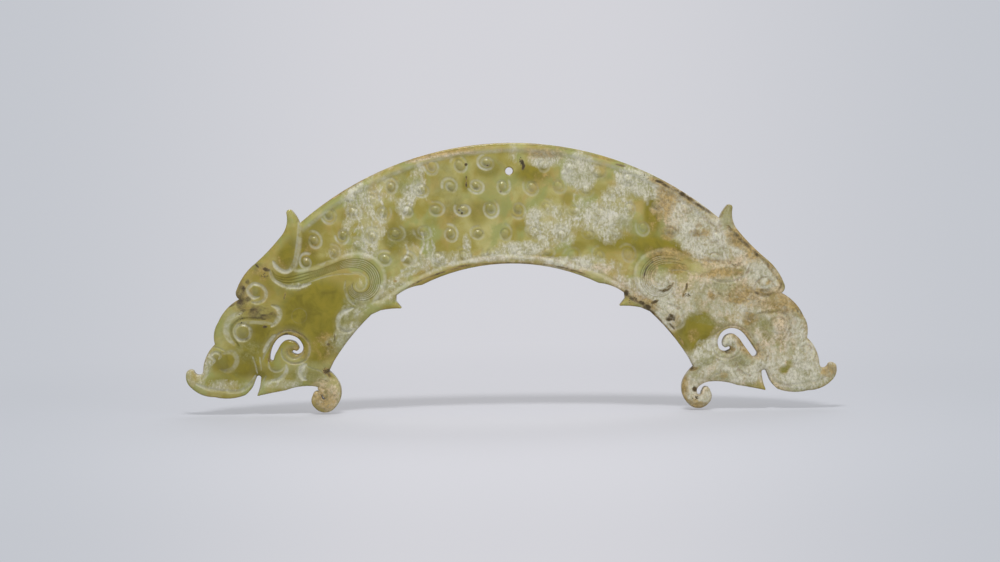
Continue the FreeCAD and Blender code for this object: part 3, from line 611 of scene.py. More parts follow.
def blend(first: tuple[Place, ...], second: tuple[Place, ...], share: float) -> tuple[Place, ...]:
    """Lays a line between two others.

    Args:
        first: Points of the one.
        second: Points of the other, as many.
        share: 0 at the first and 1 at the second.

    Returns:
        Points of the line.
    """
    pairs = zip(first, second)
    return tuple((a[0] + (b[0] - a[0]) * share, a[1] + (b[1] - a[1]) * share) for a, b in pairs)


def smooth(value: np.ndarray) -> np.ndarray:
    """Eases 0 to 1 with flat ends."""
    value = np.clip(value, 0, 1)
    return value * value * (3 - 2 * value)


class Raster:
    """A regular grid over the face that distances and reliefs are worked out on."""

    def __init__(self, low: tuple[float, float], high: tuple[float, float], step: float):
        """Lays the grid out.

        Args:
            low: Lowest X and Z.
            high: Highest X and Z.
            step: Side of a cell in metres.
        """
        self.step = step
        self.low = np.array(low)
        self.x = np.arange(low[0], high[0], step)
        self.z = np.arange(low[1], high[1], step)
        self.shape = (len(self.z), len(self.x))

    def zeros(self) -> np.ndarray:
        """An empty field on the grid."""
        return np.zeros(self.shape)
    def apart(self, x: float, z: float) -> np.ndarray:
        """Distance to one place."""
        return np.hypot(self.x[None, :] - x, self.z[:, None] - z)

    def window(self, low: np.ndarray, high: np.ndarray) -> tuple[slice, slice]:
        """Finds the part of the grid between two corners.

        Args:
            low: Lowest X and Z.
            high: Highest X and Z.

        Returns:
            Its rows and its columns.
        """
        first = np.maximum(np.floor((low - self.low) / self.step).astype(int), 0)
        last = np.maximum(np.ceil((high - self.low) / self.step).astype(int) + 1, 0)
        return slice(first[1], last[1]), slice(first[0], last[0])

    def distance(self, line: np.ndarray, reach: float) -> tuple[np.ndarray, np.ndarray]:
        """Distance to a run of points, and the share of the run's length at the nearest place.

        Args:
            line: X and Z of the run.
            reach: Distances past this one aren't told apart.

        Returns:
            The distance and the share on the grid.
        """
        near = np.full(self.shape, reach)
        along = self.zeros()
        lengths = np.linalg.norm(np.diff(line, axis=0), axis=1)
        total = max(lengths.sum(), 1e-12)
        done = 0.0
        for start, end, length in zip(line, line[1:], lengths):
            rows, columns = self.window(np.minimum(start, end) - reach, np.maximum(start, end) + reach)
            x = self.x[columns][None, :] - start[0]
            z = self.z[rows][:, None] - start[1]
            if x.size and z.size and length > 0:
                way = (end - start) / length
                share = np.clip(x * way[0] + z * way[1], 0, length)
                apart = np.hypot(x - share * way[0], z - share * way[1])
                closer = apart < near[rows, columns]
                near[rows, columns] = np.where(closer, apart, near[rows, columns])
                along[rows, columns] = np.where(closer, (done + share) / total, along[rows, columns])
            done += length
        return near, along

    def inside(self, segments: np.ndarray) -> np.ndarray:
        """Tells which nodes lie inside closed outlines.

        Args:
            segments: Rows of x0, z0, x1, z1.

        Returns:
            True inside, by the even-odd rule.
        """
        turns = np.zeros((self.shape[0], self.shape[1] + 1), int)
        for x0, z0, x1, z1 in segments:
            low, high = (z0, z1) if z0 < z1 else (z1, z0)
            rows = np.nonzero((self.z >= low) & (self.z < high))[0]
            if not len(rows):
                continue
            crossing = x0 + (self.z[rows] - z0) * (x1 - x0) / (z1 - z0)
            columns = np.clip(np.ceil((crossing - self.low[0]) / self.step).astype(int), 0, self.shape[1])
            turns[rows, columns] += 1
        return (np.cumsum(turns, axis=1)[:, :-1] % 2).astype(bool)

    def signed(self, segments: np.ndarray, reach: float) -> np.ndarray:
        """Distance to closed outlines.

        Args:
            segments: Rows of x0, z0, x1, z1.
            reach: Distances past this one aren't told apart.

        Returns:
            The distance, positive inside.
        """
        near = np.full(self.shape, reach)
        for x0, z0, x1, z1 in segments:
            start, end = np.array((x0, z0)), np.array((x1, z1))
            rows, columns = self.window(np.minimum(start, end) - reach, np.maximum(start, end) + reach)
            x = self.x[columns][None, :] - x0
            z = self.z[rows][:, None] - z0
            length = np.hypot(x1 - x0, z1 - z0)
            if length == 0 or not x.size or not z.size:
                continue
            way = (end - start) / length
            share = np.clip(x * way[0] + z * way[1], 0, length)
            apart = np.hypot(x - share * way[0], z - share * way[1])
            near[rows, columns] = np.minimum(near[rows, columns], apart)
        return np.where(self.inside(segments), near, -near)

    def blurred(self, field: np.ndarray, reach: float) -> np.ndarray:
        """Blurs a field by a box, three times over.

        Args:
            field: Values on the grid.
            reach: Half of the box's side, in metres.

        Returns:
            The blurred field.
        """
        size = max(1, int(round(reach / self.step)))
        for _ in range(3):
            for axis in (0, 1):
                pad = [(0, 0), (0, 0)]
                pad[axis] = (size + 1, size)
                run = np.cumsum(np.pad(field, pad, mode="edge"), axis=axis)
                count = field.shape[axis]
                last = np.take(run, np.arange(2 * size + 1, 2 * size + 1 + count), axis=axis)
                first = np.take(run, np.arange(count), axis=axis)
                field = (last - first) / (2 * size + 1)
        return field

    def sample(self, field: np.ndarray, x: np.ndarray, z: np.ndarray) -> np.ndarray:
        """Reads a field between the nodes.

        Args:
            field: Values on the grid.
            x: X of the places.
            z: Z of the places.

        Returns:
            The values at the places.
        """
        column = np.clip((x - self.low[0]) / self.step, 0, self.shape[1] - 1.001)
        row = np.clip((z - self.low[1]) / self.step, 0, self.shape[0] - 1.001)
        i, j = column.astype(int), row.astype(int)
        a, b = column - i, row - j
        return (
            field[j, i] * (1 - a) * (1 - b) + field[j, i + 1] * a * (1 - b)
            + field[j + 1, i] * (1 - a) * b + field[j + 1, i + 1] * a * b
        )


class Outline:
    """The pendant's outline, slots and hole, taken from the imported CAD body."""

    FACE_SHARE = 0.49

    def __init__(self, node: bpy.types.Object, thickness: float):
        """Reads the walls that run from face to face.

        Args:
            node: The CAD node of the slab.
            thickness: Face to face.
        """
        mesh = node.data
        mesh.calc_loop_triangles()
        corners = np.zeros(len(mesh.loop_triangles) * 3, int)
        mesh.loop_triangles.foreach_get("vertices", corners)
        places = np.zeros(len(mesh.vertices) * 3)
        mesh.vertices.foreach_get("co", places)
        triangles = places.reshape(-1, 3)[corners.reshape(-1, 3)]
        level = self.FACE_SHARE * thickness
        rows = []
        for triangle in triangles:
            front = triangle[triangle[:, 1] < -level]
            back = triangle[triangle[:, 1] > level]
            if len(front) == 2 and len(back) == 1:
                rows.append((front[0, 0], front[0, 2], front[1, 0], front[1, 2]))
        self.segments = np.array(rows)

    def without(self, lines: list[np.ndarray], reach: float) -> np.ndarray:
        """The outline less what lies close to some lines.

        Args:
            lines: X and Z of the lines.
            reach: How close.

        Returns:
            Rows of x0, z0, x1, z1.
        """
        middles = (self.segments[:, :2] + self.segments[:, 2:]) / 2
        apart = [np.linalg.norm(middles[:, None] - line[None], axis=2).min(axis=1) for line in lines]
        return self.segments[np.min(apart, axis=0) > reach]


@dataclass
class Relief:
    """The slab's relief and the marks on it, as fields on the raster.

    Attributes:
        raster: The grid.
        rim: Distance to the outline, positive inside.
        cut: Depth below the face's plane, without the rounding of the edges.
        marks: Strength of each kind of mark.
    """

    raster: Raster
    rim: np.ndarray
    cut: np.ndarray
    marks: dict[Mark, np.ndarray]


class Carver:
    """Works out the relief of one face."""

    def __init__(self, raster: Raster, rim: np.ndarray, sizes: SlabSizes, tracing: Tracing):
        """Starts with a plain face.

        Args:
            raster: The grid.
            rim: Distance to the outline, positive inside.
            sizes: The slab's sizes.
            tracing: The grid that places are read off.
        """
        self.raster = raster
        self.rim = rim
        self.sizes = sizes
        self.tracing = tracing
        self.cut = raster.zeros()
        self.marks = {mark: raster.zeros() for mark in Mark}
        self.field = raster.signed(self.field_outline(), sizes.field_reach)
        self.random = np.random.default_rng(SEED)

    def both(self, points: tuple[Place, ...]) -> list[tuple[Side, np.ndarray]]:
        """The curve of the left head and its mirror image on the right."""
        left = spline(self.tracing.line(points), 0.3 * MM)
        return [(side, left * np.array((-side.value, 1.0))) for side in Side]

    def distances(self, place: Place) -> list[tuple[Side, np.ndarray]]:
        """Distance to a place of the left head and to its mirror image on the right."""
        x, z = self.tracing.place(*place)
        return [(side, self.raster.apart(-side.value * x, z)) for side in Side]

    def lay(
        self, mark: Mark, value: np.ndarray, rows: slice = slice(None), columns: slice = slice(None)
    ) -> None:
        """Raises a mark to a value where it is weaker.

        Args:
            mark: Kind of mark.
            value: Its strength.
            rows: Rows of the grid that the value covers.
            columns: Columns of the grid that it covers.
        """
        field = self.marks[mark]
        field[rows, columns] = np.maximum(field[rows, columns], value)

    def arc(self, radius: float, turn: float, count: int) -> np.ndarray:
        """Runs along the arch.

        Args:
            radius: Radius about the arch's middle.
            turn: Turn from upright that it starts at; it ends at the mirrored turn.
            count: Number of points.

        Returns:
            X and Z of the points.
        """
        turns = np.linspace(turn, -turn, count)
        middle = self.tracing.centre_height
        return np.stack([radius * np.sin(turns), radius * np.cos(turns) + middle], axis=1)

    def field_outline(self) -> np.ndarray:
        """Closed outline of the sunken field.

        Returns:
            Rows of x0, z0, x1, z1.
        """
        sizes = self.sizes
        middle = self.tracing.centre_height
        left = spline(self.tracing.line(FIELD_END), 0.4 * MM)
        right = (left * np.array((-1.0, 1.0)))[::-1]
        first = math.atan2(left[-1, 0], left[-1, 1] - middle) + 0.04
        last = math.atan2(right[-1, 0], right[-1, 1] - middle)
        inner = self.arc(sizes.inner_radius + sizes.border_width, first, 200)
        outer = self.arc(sizes.outer_radius - sizes.border_width, last, 300)
        run = np.vstack([left, inner, right, outer])
        return np.hstack([run, np.roll(run, -1, axis=0)])

    def sink_field(self) -> None:
        """Lowers the field between the plain borders, with a pale line along its edge."""
        self.cut += self.sizes.field_recess * smooth(self.field / self.sizes.field_slope + 0.35)
        worn = 1 - 0.75 * smooth((self.raster.x[None, :] - 32 * MM) / (12 * MM))
        line = worn * smooth(1 - np.abs(self.field - 0.2 * MM) / (0.8 * MM))
        self.lay(Mark.PALE, 0.6 * line)

    def raise_grains(self) -> None:
        """Raises a low boss for every grain."""
        field = smooth(self.field / (0.8 * MM))
        for number, (x, y, strength) in enumerate(GRAINS):
            self.raise_grain(self.tracing.place(x, y), strength, bool(number % 2), field)

    def raise_grain(self, place: Place, strength: float, backwards: bool, field: np.ndarray) -> None:
        """Raises one boss, with a groove that winds from its foot towards its top.

        Args:
            place: X and Z of its middle.
            strength: How fresh it is, 0 to 1.
            backwards: Whether the groove winds the other way.
            field: Share of the sunken field, 0 to 1.
        """
        sizes = self.sizes
        middle = np.array(place)
        radius = sizes.grain_radius * (1.0 + 0.07 * self.random.standard_normal())
        foot = sizes.boss_share * radius * self.random.uniform(0.85, 1.1)
        turns = sizes.grain_turns * self.random.uniform(0.8, 1.12)
        rows, columns = self.raster.window(middle - 1.5 * radius, middle + 1.5 * radius)
        across = self.raster.x[columns][None, :] - middle[0]
        up = self.raster.z[rows][:, None] - middle[1]
        lean = self.random.uniform(0, math.pi)
        oval = 1 + 0.09 * np.cos(2 * np.arctan2(up, across) - lean)
        apart = np.hypot(across, up) * oval
        inside = field[rows, columns]
        boss = np.clip(1 - (apart / foot) ** 2, 0, 1)
        turn = (np.arctan2(up, across) / (2 * math.pi) + self.random.uniform(0.4, 0.9)) % 1.0
        if backwards:
            turn = 1 - turn
        groove = np.zeros(apart.shape)
        for lap in range(3):
            along = (turn + lap) / turns
            line = radius * (0.96 - 0.74 * np.clip(along, 0, 1) ** 0.9)
            near = np.clip(1 - (np.abs(apart - line) / sizes.grain_line) ** 2, 0, 1)
            ends = smooth((1 - along) / 0.25) * smooth(along / 0.06 + 0.4)
            groove = np.maximum(groove, near * ends)
        relief = sizes.grain_height * boss - sizes.grain_groove * groove
        self.cut[rows, columns] -= inside * (0.25 + 0.75 * strength) * relief
        outer = groove * smooth(apart / radius * 2.2 - 1.0)
        # Painted light: the pale ring is up to a third stronger on the boss's lower half, where a top light
        # would catch the groove's upward-facing wall.
        lower = 0.75 + 0.25 * smooth(0.6 - up / radius)
        worked = 0.5 * outer + 0.54 * groove
        pale = inside * strength * lower * worked * self.random.uniform(0.75, 1.1)
        self.lay(Mark.PALE, pale, rows, columns)
        top = smooth(1.45 - apart / (0.42 * radius))
        self.lay(Mark.CORE, inside * strength * top * self.random.uniform(0.4, 1.0), rows, columns)

    def carve(self, stroke: Stroke, mark: Mark, right_wear: float, right_start: float = 0.0) -> None:
        """Cuts a line with soft shoulders into the left head, and its worn mirror image into the right.

        Args:
            stroke: The line; its paleness is the strength of the mark.
            mark: Kind of mark that it leaves.
            right_wear: Share of its depth and strength that the right head has.
            right_start: Share of its length that is missing there.
        """
        width = stroke.width * self.tracing.step
        for side, line in self.both(stroke.points):
            worn = 1.0 if side is Side.LEFT else right_wear
            start = 0.0 if side is Side.LEFT else right_start
            near, along = self.raster.distance(line[int(start * len(line)):], width + 0.3 * MM)
            ends = np.minimum(along, 1 - along) / max(stroke.taper, NO_TAPER)
            half = width / 2 * (0.3 + 0.7 * np.sqrt(np.clip(ends, 0, 1)))
            share = np.clip(1 - (near / half) ** 2, 0, 1)
            soft = 0.8 * share + 0.2 * smooth(1 - near / (2 * half))
            self.cut += stroke.depth * worn * MM * soft
            self.lay(mark, stroke.pale * worn * smooth(1.65 - 1.15 * near / half))

    def carve_lines(self, carving: HeadCarving) -> None:
        """Cuts the single lines of both heads.

        Args:
            carving: How the lines are cut.
        """
        for stroke in HEAD_STROKES:
            mark = Mark.PALE if stroke.pale else Mark.HAIR
            pale = stroke.pale or carving.dark_strength
            cut = replace(stroke, depth=carving.stroke_depth * stroke.depth, pale=pale)
            self.carve(cut, mark, carving.right_wear)

    def carve_plumes(self, carving: HeadCarving) -> None:
        """Cuts the combed lines of both plumes, with pale strands between them.

        Args:
            carving: How the lines are cut.
        """
        for number, share in enumerate(np.linspace(0, 1, carving.hair_lines)):
            late = number % 2
            points = blend(HAIR_OUTER, HAIR_INNER, share)[carving.hair_late_start * late:]
            taper = carving.hair_taper + carving.hair_late_taper * late
            hair = Stroke(points, carving.hair_width, carving.hair_depth, carving.hair_strength, taper)
            self.carve(hair, Mark.HAIR, carving.right_wear, carving.right_hair_start)
        strands = carving.hair_lines - 1
        for share in (np.arange(strands) + 0.5) / strands:
            points = blend(HAIR_OUTER, HAIR_INNER, share)[carving.strand_start:]
            strand = Stroke(points, carving.strand_width, 0.0, carving.strand_strength, carving.strand_taper)
            self.carve(strand, Mark.PALE, carving.right_wear)

    def darken_centres(self) -> None:
        """Marks the clear stone in the middle of the eyes, scrolls and nostrils."""
        for place, radius, strength in CLEAR_CENTRES:
            for side, apart in self.distances(place):
                soft = smooth(1.5 - apart / (radius * self.tracing.step)) * strength
                self.lay(Mark.CORE, soft * (1.0 if side is Side.LEFT else RIGHT_CENTRE_SHARE))

    def model_heads(self) -> None:
        """Gives the heads soft volume: they fall towards the outline, and brow, eye and cheek swell."""
        head = smooth(-self.field / (1.5 * MM))
        self.cut += 0.3 * MM * head * (1 - smooth(self.rim / (2.4 * MM))) ** 1.5
        for place, radius, height in SWELLS:
            for _, apart in self.distances(place):
                self.cut -= height * MM * np.exp(-((apart / (radius * MM)) ** 2))

    def lay_blob(self, mark: Mark, blob: Blob) -> None:
        """Lays or clears one soft patch.

        Args:
            mark: Kind of mark.
            blob: The patch.
        """
        step = self.tracing.step
        middle = np.array(self.tracing.place(blob.x, blob.y))
        reach = max(blob.across, blob.down) * step * 1.7
        rows, columns = self.raster.window(middle - reach, middle + reach)
        across = self.raster.x[columns][None, :] - middle[0]
        down = middle[1] - self.raster.z[rows][:, None]
        turn = math.radians(blob.turn)
        along = (across * math.cos(turn) + down * math.sin(turn)) / (blob.across * step)
        beside = (down * math.cos(turn) - across * math.sin(turn)) / (blob.down * step)
        soft = blob.strength * smooth((1.55 - np.hypot(along, beside)) / 1.1)
        here = self.marks[mark][rows, columns]
        self.marks[mark][rows, columns] = here + soft * (here if soft.min() < 0 else 1 - here)

    def stain(self) -> None:
        """Lays the patches of altered stone, stains and soil."""
        step = self.tracing.step
        for mark, patches in ZONES.items():
            for blob in patches:
                self.lay_blob(mark, blob)
        for mark, lines in TRACES.items():
            for trace in lines:
                line = spline(self.tracing.line(trace.points), 0.4 * MM)
                near, along = self.raster.distance(line, trace.width * step)
                ends = smooth(np.minimum(along, 1 - along) / 0.12 + 0.1)
                self.lay(mark, trace.strength * smooth(1 - near / (trace.width * step)) * ends)

    def wear(self, work: HandWork) -> None:
        """Gives the faces their hand-cut unevenness and marks hollows and edges.

        Args:
            work: How uneven the faces are.
        """
        uneven = self.raster.zeros()
        for _ in range(work.waves):
            wave = self.random.normal(0.0, 1.0, 2) / work.wave_length
            uneven += np.sin(
                self.raster.x[None, :] * wave[0] * 2 * math.pi
                + self.raster.z[:, None] * wave[1] * 2 * math.pi + self.random.uniform(0, 2 * math.pi)
            )
        self.cut += work.wave_height * uneven / math.sqrt(work.waves / 2) + work.wave_height
        hollow = self.cut - self.raster.blurred(self.cut, work.hollow_reach)
        self.marks[Mark.CAVITY] = np.clip(hollow / work.hollow_depth, -1, 1)
        self.marks[Mark.EDGE] = 1 - smooth(self.rim / work.edge_reach)

    def finish(self) -> Relief:
        """Carves everything.

        Returns:
            The relief and its marks.
        """
        carving = HeadCarving()
        self.sink_field()
        self.raise_grains()
        self.model_heads()
        self.carve_lines(carving)
        self.carve_plumes(carving)
        for stroke in RINGS:
            self.carve(stroke, Mark.PALE, carving.right_ring_wear)
        self.darken_centres()
        self.wear(HandWork())
        self.stain()
        return Relief(self.raster, self.rim, self.cut, self.marks)


def mesh_object(name: str, places: np.ndarray, faces: list[tuple[int, ...]]) -> bpy.types.Object:
    """Makes a smooth mesh object and links it to the scene.

    Args:
        name: Name of the mesh and the object.
        places: X, Y and Z of the vertices.
        faces: Vertex numbers of every face.

    Returns:
        The object.
    """
    mesh = bpy.data.meshes.new(name)
    mesh.from_pydata(places.tolist(), [], faces)
    mesh.update()
    mesh.shade_smooth()
    made = bpy.data.objects.new(name, mesh)
    bpy.context.scene.collection.objects.link(made)
    return made


class SlabMesh:
    """Turns a relief into a closed mesh with rounded edges."""

    NEAR = 0.38
    WALL_TURNS = (60, 75, 90)
    WALL_INSETS = (0.55, 0.2, 0.0)

    def __init__(self, relief: Relief, sizes: SlabSizes):
        """Keeps what the mesh is made from."""
        self.relief = relief
        self.sizes = sizes

    def tessellate(self) -> tuple[np.ndarray, list[tuple[int, ...]]]:
        """Cuts the grid along the outline.

        Returns:
            X and Z of the vertices, and the polygons, anticlockwise seen along +Y.
        """
        raster = self.relief.raster
        level = self.relief.rim - self.sizes.face_inset
        slope_z, slope_x = np.gradient(self.relief.rim, raster.step)
        steep = np.maximum(np.hypot(slope_x, slope_z), 0.3)
        x = np.tile(raster.x, (raster.shape[0], 1))
        z = np.tile(raster.z[:, None], (1, raster.shape[1]))
        near = np.abs(level) < self.NEAR * raster.step
        x = np.where(near, x - level * slope_x / steep**2, x)
        z = np.where(near, z - level * slope_z / steep**2, z)
        level = np.where(near, 0.0, level)
        inside = level >= 0
        corners = np.stack([inside[:-1, :-1], inside[:-1, 1:], inside[1:, 1:], inside[1:, :-1]], axis=-1)
        count = corners.sum(axis=-1)
        numbers = np.full(raster.shape, -1)
        used = np.zeros(raster.shape, bool)
        for rows, columns in ((slice(0, -1), slice(0, -1)), (slice(0, -1), slice(1, None)),
                              (slice(1, None), slice(1, None)), (slice(1, None), slice(0, -1))):
            used[rows, columns] |= count > 0
        used &= inside
        numbers[used] = np.arange(used.sum())
        places = [np.stack([x[used], z[used]], axis=1)]
        total = int(used.sum())
        full = np.argwhere(count == 4)
        j, i = full[:, 0], full[:, 1]
        polygons = list(map(tuple, np.stack(
            [numbers[j, i], numbers[j, i + 1], numbers[j + 1, i + 1], numbers[j + 1, i]], axis=1
        ).tolist()))
        crossings: dict[tuple, int] = {}
        extra = []

        def crossing(a: tuple[int, int], b: tuple[int, int]) -> int:
            """The vertex where the outline crosses the side from an inner node to an outer one."""
            if level[a] == 0:
                return int(numbers[a])
            key = (a, b)
            if key not in crossings:
                share = level[a] / (level[a] - level[b])
                crossings[key] = total + len(extra)
                extra.append((x[a] + share * (x[b] - x[a]), z[a] + share * (z[b] - z[a])))
            return crossings[key]

        for j, i in np.argwhere((count > 0) & (count < 4)).tolist():
            nodes = ((j, i), (j, i + 1), (j + 1, i + 1), (j + 1, i))
            walk = []
            for here, there in zip(nodes, nodes[1:] + nodes[:1]):
                if inside[here]:
                    walk.append(int(numbers[here]))
                if inside[here] != inside[there]:
                    walk.append(crossing(here, there) if inside[here] else crossing(there, here))
            ring = [number for number, after in zip(walk, walk[1:] + walk[:1]) if number != after]
            if len(set(ring)) == len(ring) and len(ring) >= 3:
                polygons.append(tuple(ring))
        if extra:
            places.append(np.array(extra))
        return np.vstack(places), polygons

    @staticmethod
    def open_sides(polygons: list[tuple[int, ...]]) -> list[tuple[int, int]]:
        """Finds the outline.

        Args:
            polygons: Vertex numbers of the face's polygons.

        Returns:
            The sides that only one polygon has.
        """
        sides = {}
        for ring in polygons:
            for side in zip(ring, ring[1:] + ring[:1]):
                sides[side] = True
        return [(a, b) for a, b in sides if (b, a) not in sides]

    def outward(self, places: np.ndarray) -> np.ndarray:
        """Points away from the stone.

        Args:
            places: X and Z of places on the outline.

        Returns:
            X and Z of unit vectors.
        """
        relief = self.relief
        slope_z, slope_x = np.gradient(relief.rim, relief.raster.step)
        x = -relief.raster.sample(slope_x, places[:, 0], places[:, 1])
        z = -relief.raster.sample(slope_z, places[:, 0], places[:, 1])
        size = np.maximum(np.hypot(x, z), 1e-9)
        return np.stack([x / size, z / size], axis=1)

    def profile(self) -> list[tuple[float, float]]:
        """Rounds the wall.

        Returns:
            Inset and Y of its rows, from the front to the back.
        """
        sizes = self.sizes
        rows = []
        for turn, share in zip(np.radians(self.WALL_TURNS), self.WALL_INSETS):
            inset = min(sizes.edge_radius * (1 - math.sin(turn)), sizes.face_inset * share)
            rows.append((inset, sizes.thickness / 2 - float(sizes.drop(np.array(inset)))))
        front = [(inset, -height) for inset, height in rows]
        return front + [(0.0, 0.0)] + rows[::-1]

    def build(self, name: str) -> bpy.types.Object:
        """Makes the mesh object with its marks as vertex attributes.

        Args:
            name: The object's name.

        Returns:
            The object.
        """
        sizes = self.sizes
        relief = self.relief
        raster = relief.raster
        flat, polygons = self.tessellate()
        sides = self.open_sides(polygons)
        on_rim = sorted({number for side in sides for number in side})
        place_of = {number: order for order, number in enumerate(on_rim)}
        count = len(flat)
        cut = raster.sample(relief.cut, flat[:, 0], flat[:, 1])
        rim = raster.sample(relief.rim, flat[:, 0], flat[:, 1])
        rim[on_rim] = sizes.face_inset
        deep = sizes.thickness / 2 - cut - sizes.drop(rim)
        front = np.stack([flat[:, 0], -deep, flat[:, 1]], axis=1)
        back = np.stack([flat[:, 0], deep, flat[:, 1]], axis=1)
        edge = flat[on_rim]
        out = self.outward(edge)
        rows = self.profile()
        walls = []
        for inset, level in rows:
            away = (sizes.face_inset - inset) * out
            lift = np.sign(level) * cut[on_rim]
            walls.append(np.stack([edge[:, 0] + away[:, 0], level - lift, edge[:, 1] + away[:, 1]], axis=1))
        places = np.vstack([front, back, *walls])
        faces = list(polygons)
        faces += [tuple(count + number for number in reversed(ring)) for ring in polygons]
        first = np.array(on_rim)
        between = [2 * count + order * len(on_rim) + np.arange(len(on_rim)) for order in range(len(rows))]
        rings = [first, *between, count + first]
        for a, b in sides:
            here, there = place_of[a], place_of[b]
            for upper, lower in zip(rings, rings[1:]):
                faces.append((int(upper[there]), int(upper[here]), int(lower[here]), int(lower[there])))
        made = mesh_object(name, places, faces)
        for mark, field in relief.marks.items():
            values = raster.sample(field, flat[:, 0], flat[:, 1])
            values = np.concatenate([values, values, np.tile(values[on_rim], len(rows))])
            layer = made.data.attributes.new(mark.value, "FLOAT", "POINT")
            layer.data.foreach_set("value", values.astype(np.float32))
        return made


class Slab:
    """The carved jade slab."""

    def __init__(self, sizes: SlabSizes, tracing: Tracing):
        """Works out the slab's outline and relief.

        Args:
            sizes: Its sizes.
            tracing: The grid that places are read off.
        """
        self.sizes = sizes
        step = sizes.mesh_step * 1.0
        outline = Outline(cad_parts["jade_slab"], sizes.thickness)
        low = outline.segments.reshape(-1, 2).min(axis=0) - 3 * step
        high = outline.segments.reshape(-1, 2).max(axis=0) + 3 * step
        raster = Raster(tuple(low), tuple(high), step)
        rim = self.open_slots(raster, outline, tracing)
        rim = np.minimum(rim, raster.apart(0, 0) - sizes.hole_radius)
        for x, y, radius in LEFT_CURL_FILLS:
            rim = np.maximum(rim, radius * tracing.step - raster.apart(*tracing.place(x, y)))
        self.relief = Carver(raster, rim, sizes, tracing).finish()

    def open_slots(self, raster: Raster, outline: Outline, tracing: Tracing) -> np.ndarray:
        """Puts the traced slots in the place of the plain ones.

        Args:
            raster: The grid.
            outline: The slab's outline.
            tracing: The grid that places are read off.

        Returns:
            Distance to the outline and the slots, positive inside the stone.
        """
        sizes = self.sizes
        slots = [(spline(tracing.line(points), 0.2 * MM), widths) for points, widths in SLOTS]
        traced = [line for line, _ in slots]
        rim = raster.signed(outline.without(traced, sizes.slot_clearance), sizes.rim_reach)
        for line, widths in slots:
            near, along = raster.distance(line, sizes.slot_reach)
            half = np.interp(along, SLOT_SHARES, widths) * tracing.step / 2
            rim = np.where(near < sizes.slot_reach, np.minimum(rim, near - half), rim)
        return rim

    def build(self, finish: bpy.types.Material) -> bpy.types.Object:
        """Makes the slab and puts it in the place of its CAD node.

        Args:
            finish: The stone's material.

        Returns:
            The slab.
        """
        piece = SlabMesh(self.relief, self.sizes).build("carved_slab")
        piece.data.materials.append(finish)
        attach(piece, "root")
        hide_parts("jade_slab")
        return piece


# Finishes; all colours are linear
@dataclass(frozen=True)
class Altered:
    """One kind of altered stone: the colours that it varies between and how it breaks up.

    Attributes:
        dull: Its darker tone.
        bright: Its lighter tone.
        tint: The tone of single stains in it.
        fineness: How fine its clouds and grains are; 1 is usual.
        cover: The most of the stone that it hides.
        lace: Strength of its white threads.
        pepper: Strength of its dark specks.
    """

    dull: Colour
    bright: Colour
    tint: Colour = (0.380, 0.340, 0.200)
    fineness: float = 1.0
    cover: float = 0.8
    lace: float = 0.0
    pepper: float = 0.0


@dataclass(frozen=True)
class JadeFinish:
    """Colours and surface of the polished stone."""

    body: Altered = Altered((0.332, 0.275, 0.046), (0.502, 0.452, 0.180), (0.430, 0.300, 0.080))
    clear: Altered = Altered((0.185, 0.150, 0.006), (0.275, 0.225, 0.014))
    green: Altered = Altered(
        (0.155, 0.150, 0.028), (0.310, 0.295, 0.105), (0.210, 0.210, 0.060), cover=0.75
    )
    calcite: Altered = Altered(
        (0.340, 0.320, 0.175), (0.700, 0.670, 0.545), (0.430, 0.420, 0.300),
        fineness=1.0, cover=0.93, lace=0.35, pepper=0.2,
    )
    cream: Altered = Altered(
        (0.320, 0.245, 0.115), (0.780, 0.630, 0.455), (0.310, 0.300, 0.150),
        fineness=0.9, cover=0.92, lace=0.2, pepper=0.8,
    )
    brown: Altered = Altered(
        (0.190, 0.125, 0.028), (0.510, 0.355, 0.120), (0.315, 0.215, 0.052),
        fineness=0.9, cover=0.9, lace=0.0, pepper=0.6,
    )
    soil: Altered = Altered(
        (0.020, 0.016, 0.008), (0.100, 0.065, 0.022), (0.030, 0.024, 0.010), fineness=1.5, cover=0.97
    )
    worked: Colour = (0.570, 0.555, 0.425)
    dirty: Colour = (0.250, 0.160, 0.065)
    leaf: Colour = (0.310, 0.335, 0.105)
    leaf_shade: Colour = (0.150, 0.125, 0.030)
    core: Colour = (0.200, 0.175, 0.012)
    hair: Colour = (0.105, 0.090, 0.012)
    rim: Colour = (0.200, 0.130, 0.040)
    roughness: float = 0.26
    specular: float = 0.42
    subsurface: float = 0.3
    subsurface_radius: Colour = (1.0, 0.9, 0.4)
    depth: float = 1.6 * MM
    bump: float = 0.5
    bump_depth: float = 0.1 * MM


@dataclass(frozen=True)
class SoilFinish:
    """Colours and surface of the burial soil."""

    dark: Colour = (0.060, 0.046, 0.020)
    light: Colour = (0.210, 0.150, 0.065)
    roughness: float = 0.85
    bump: float = 0.8
    bump_depth: float = 0.1 * MM


PEPPER_COLOUR = (0.130, 0.085, 0.035)


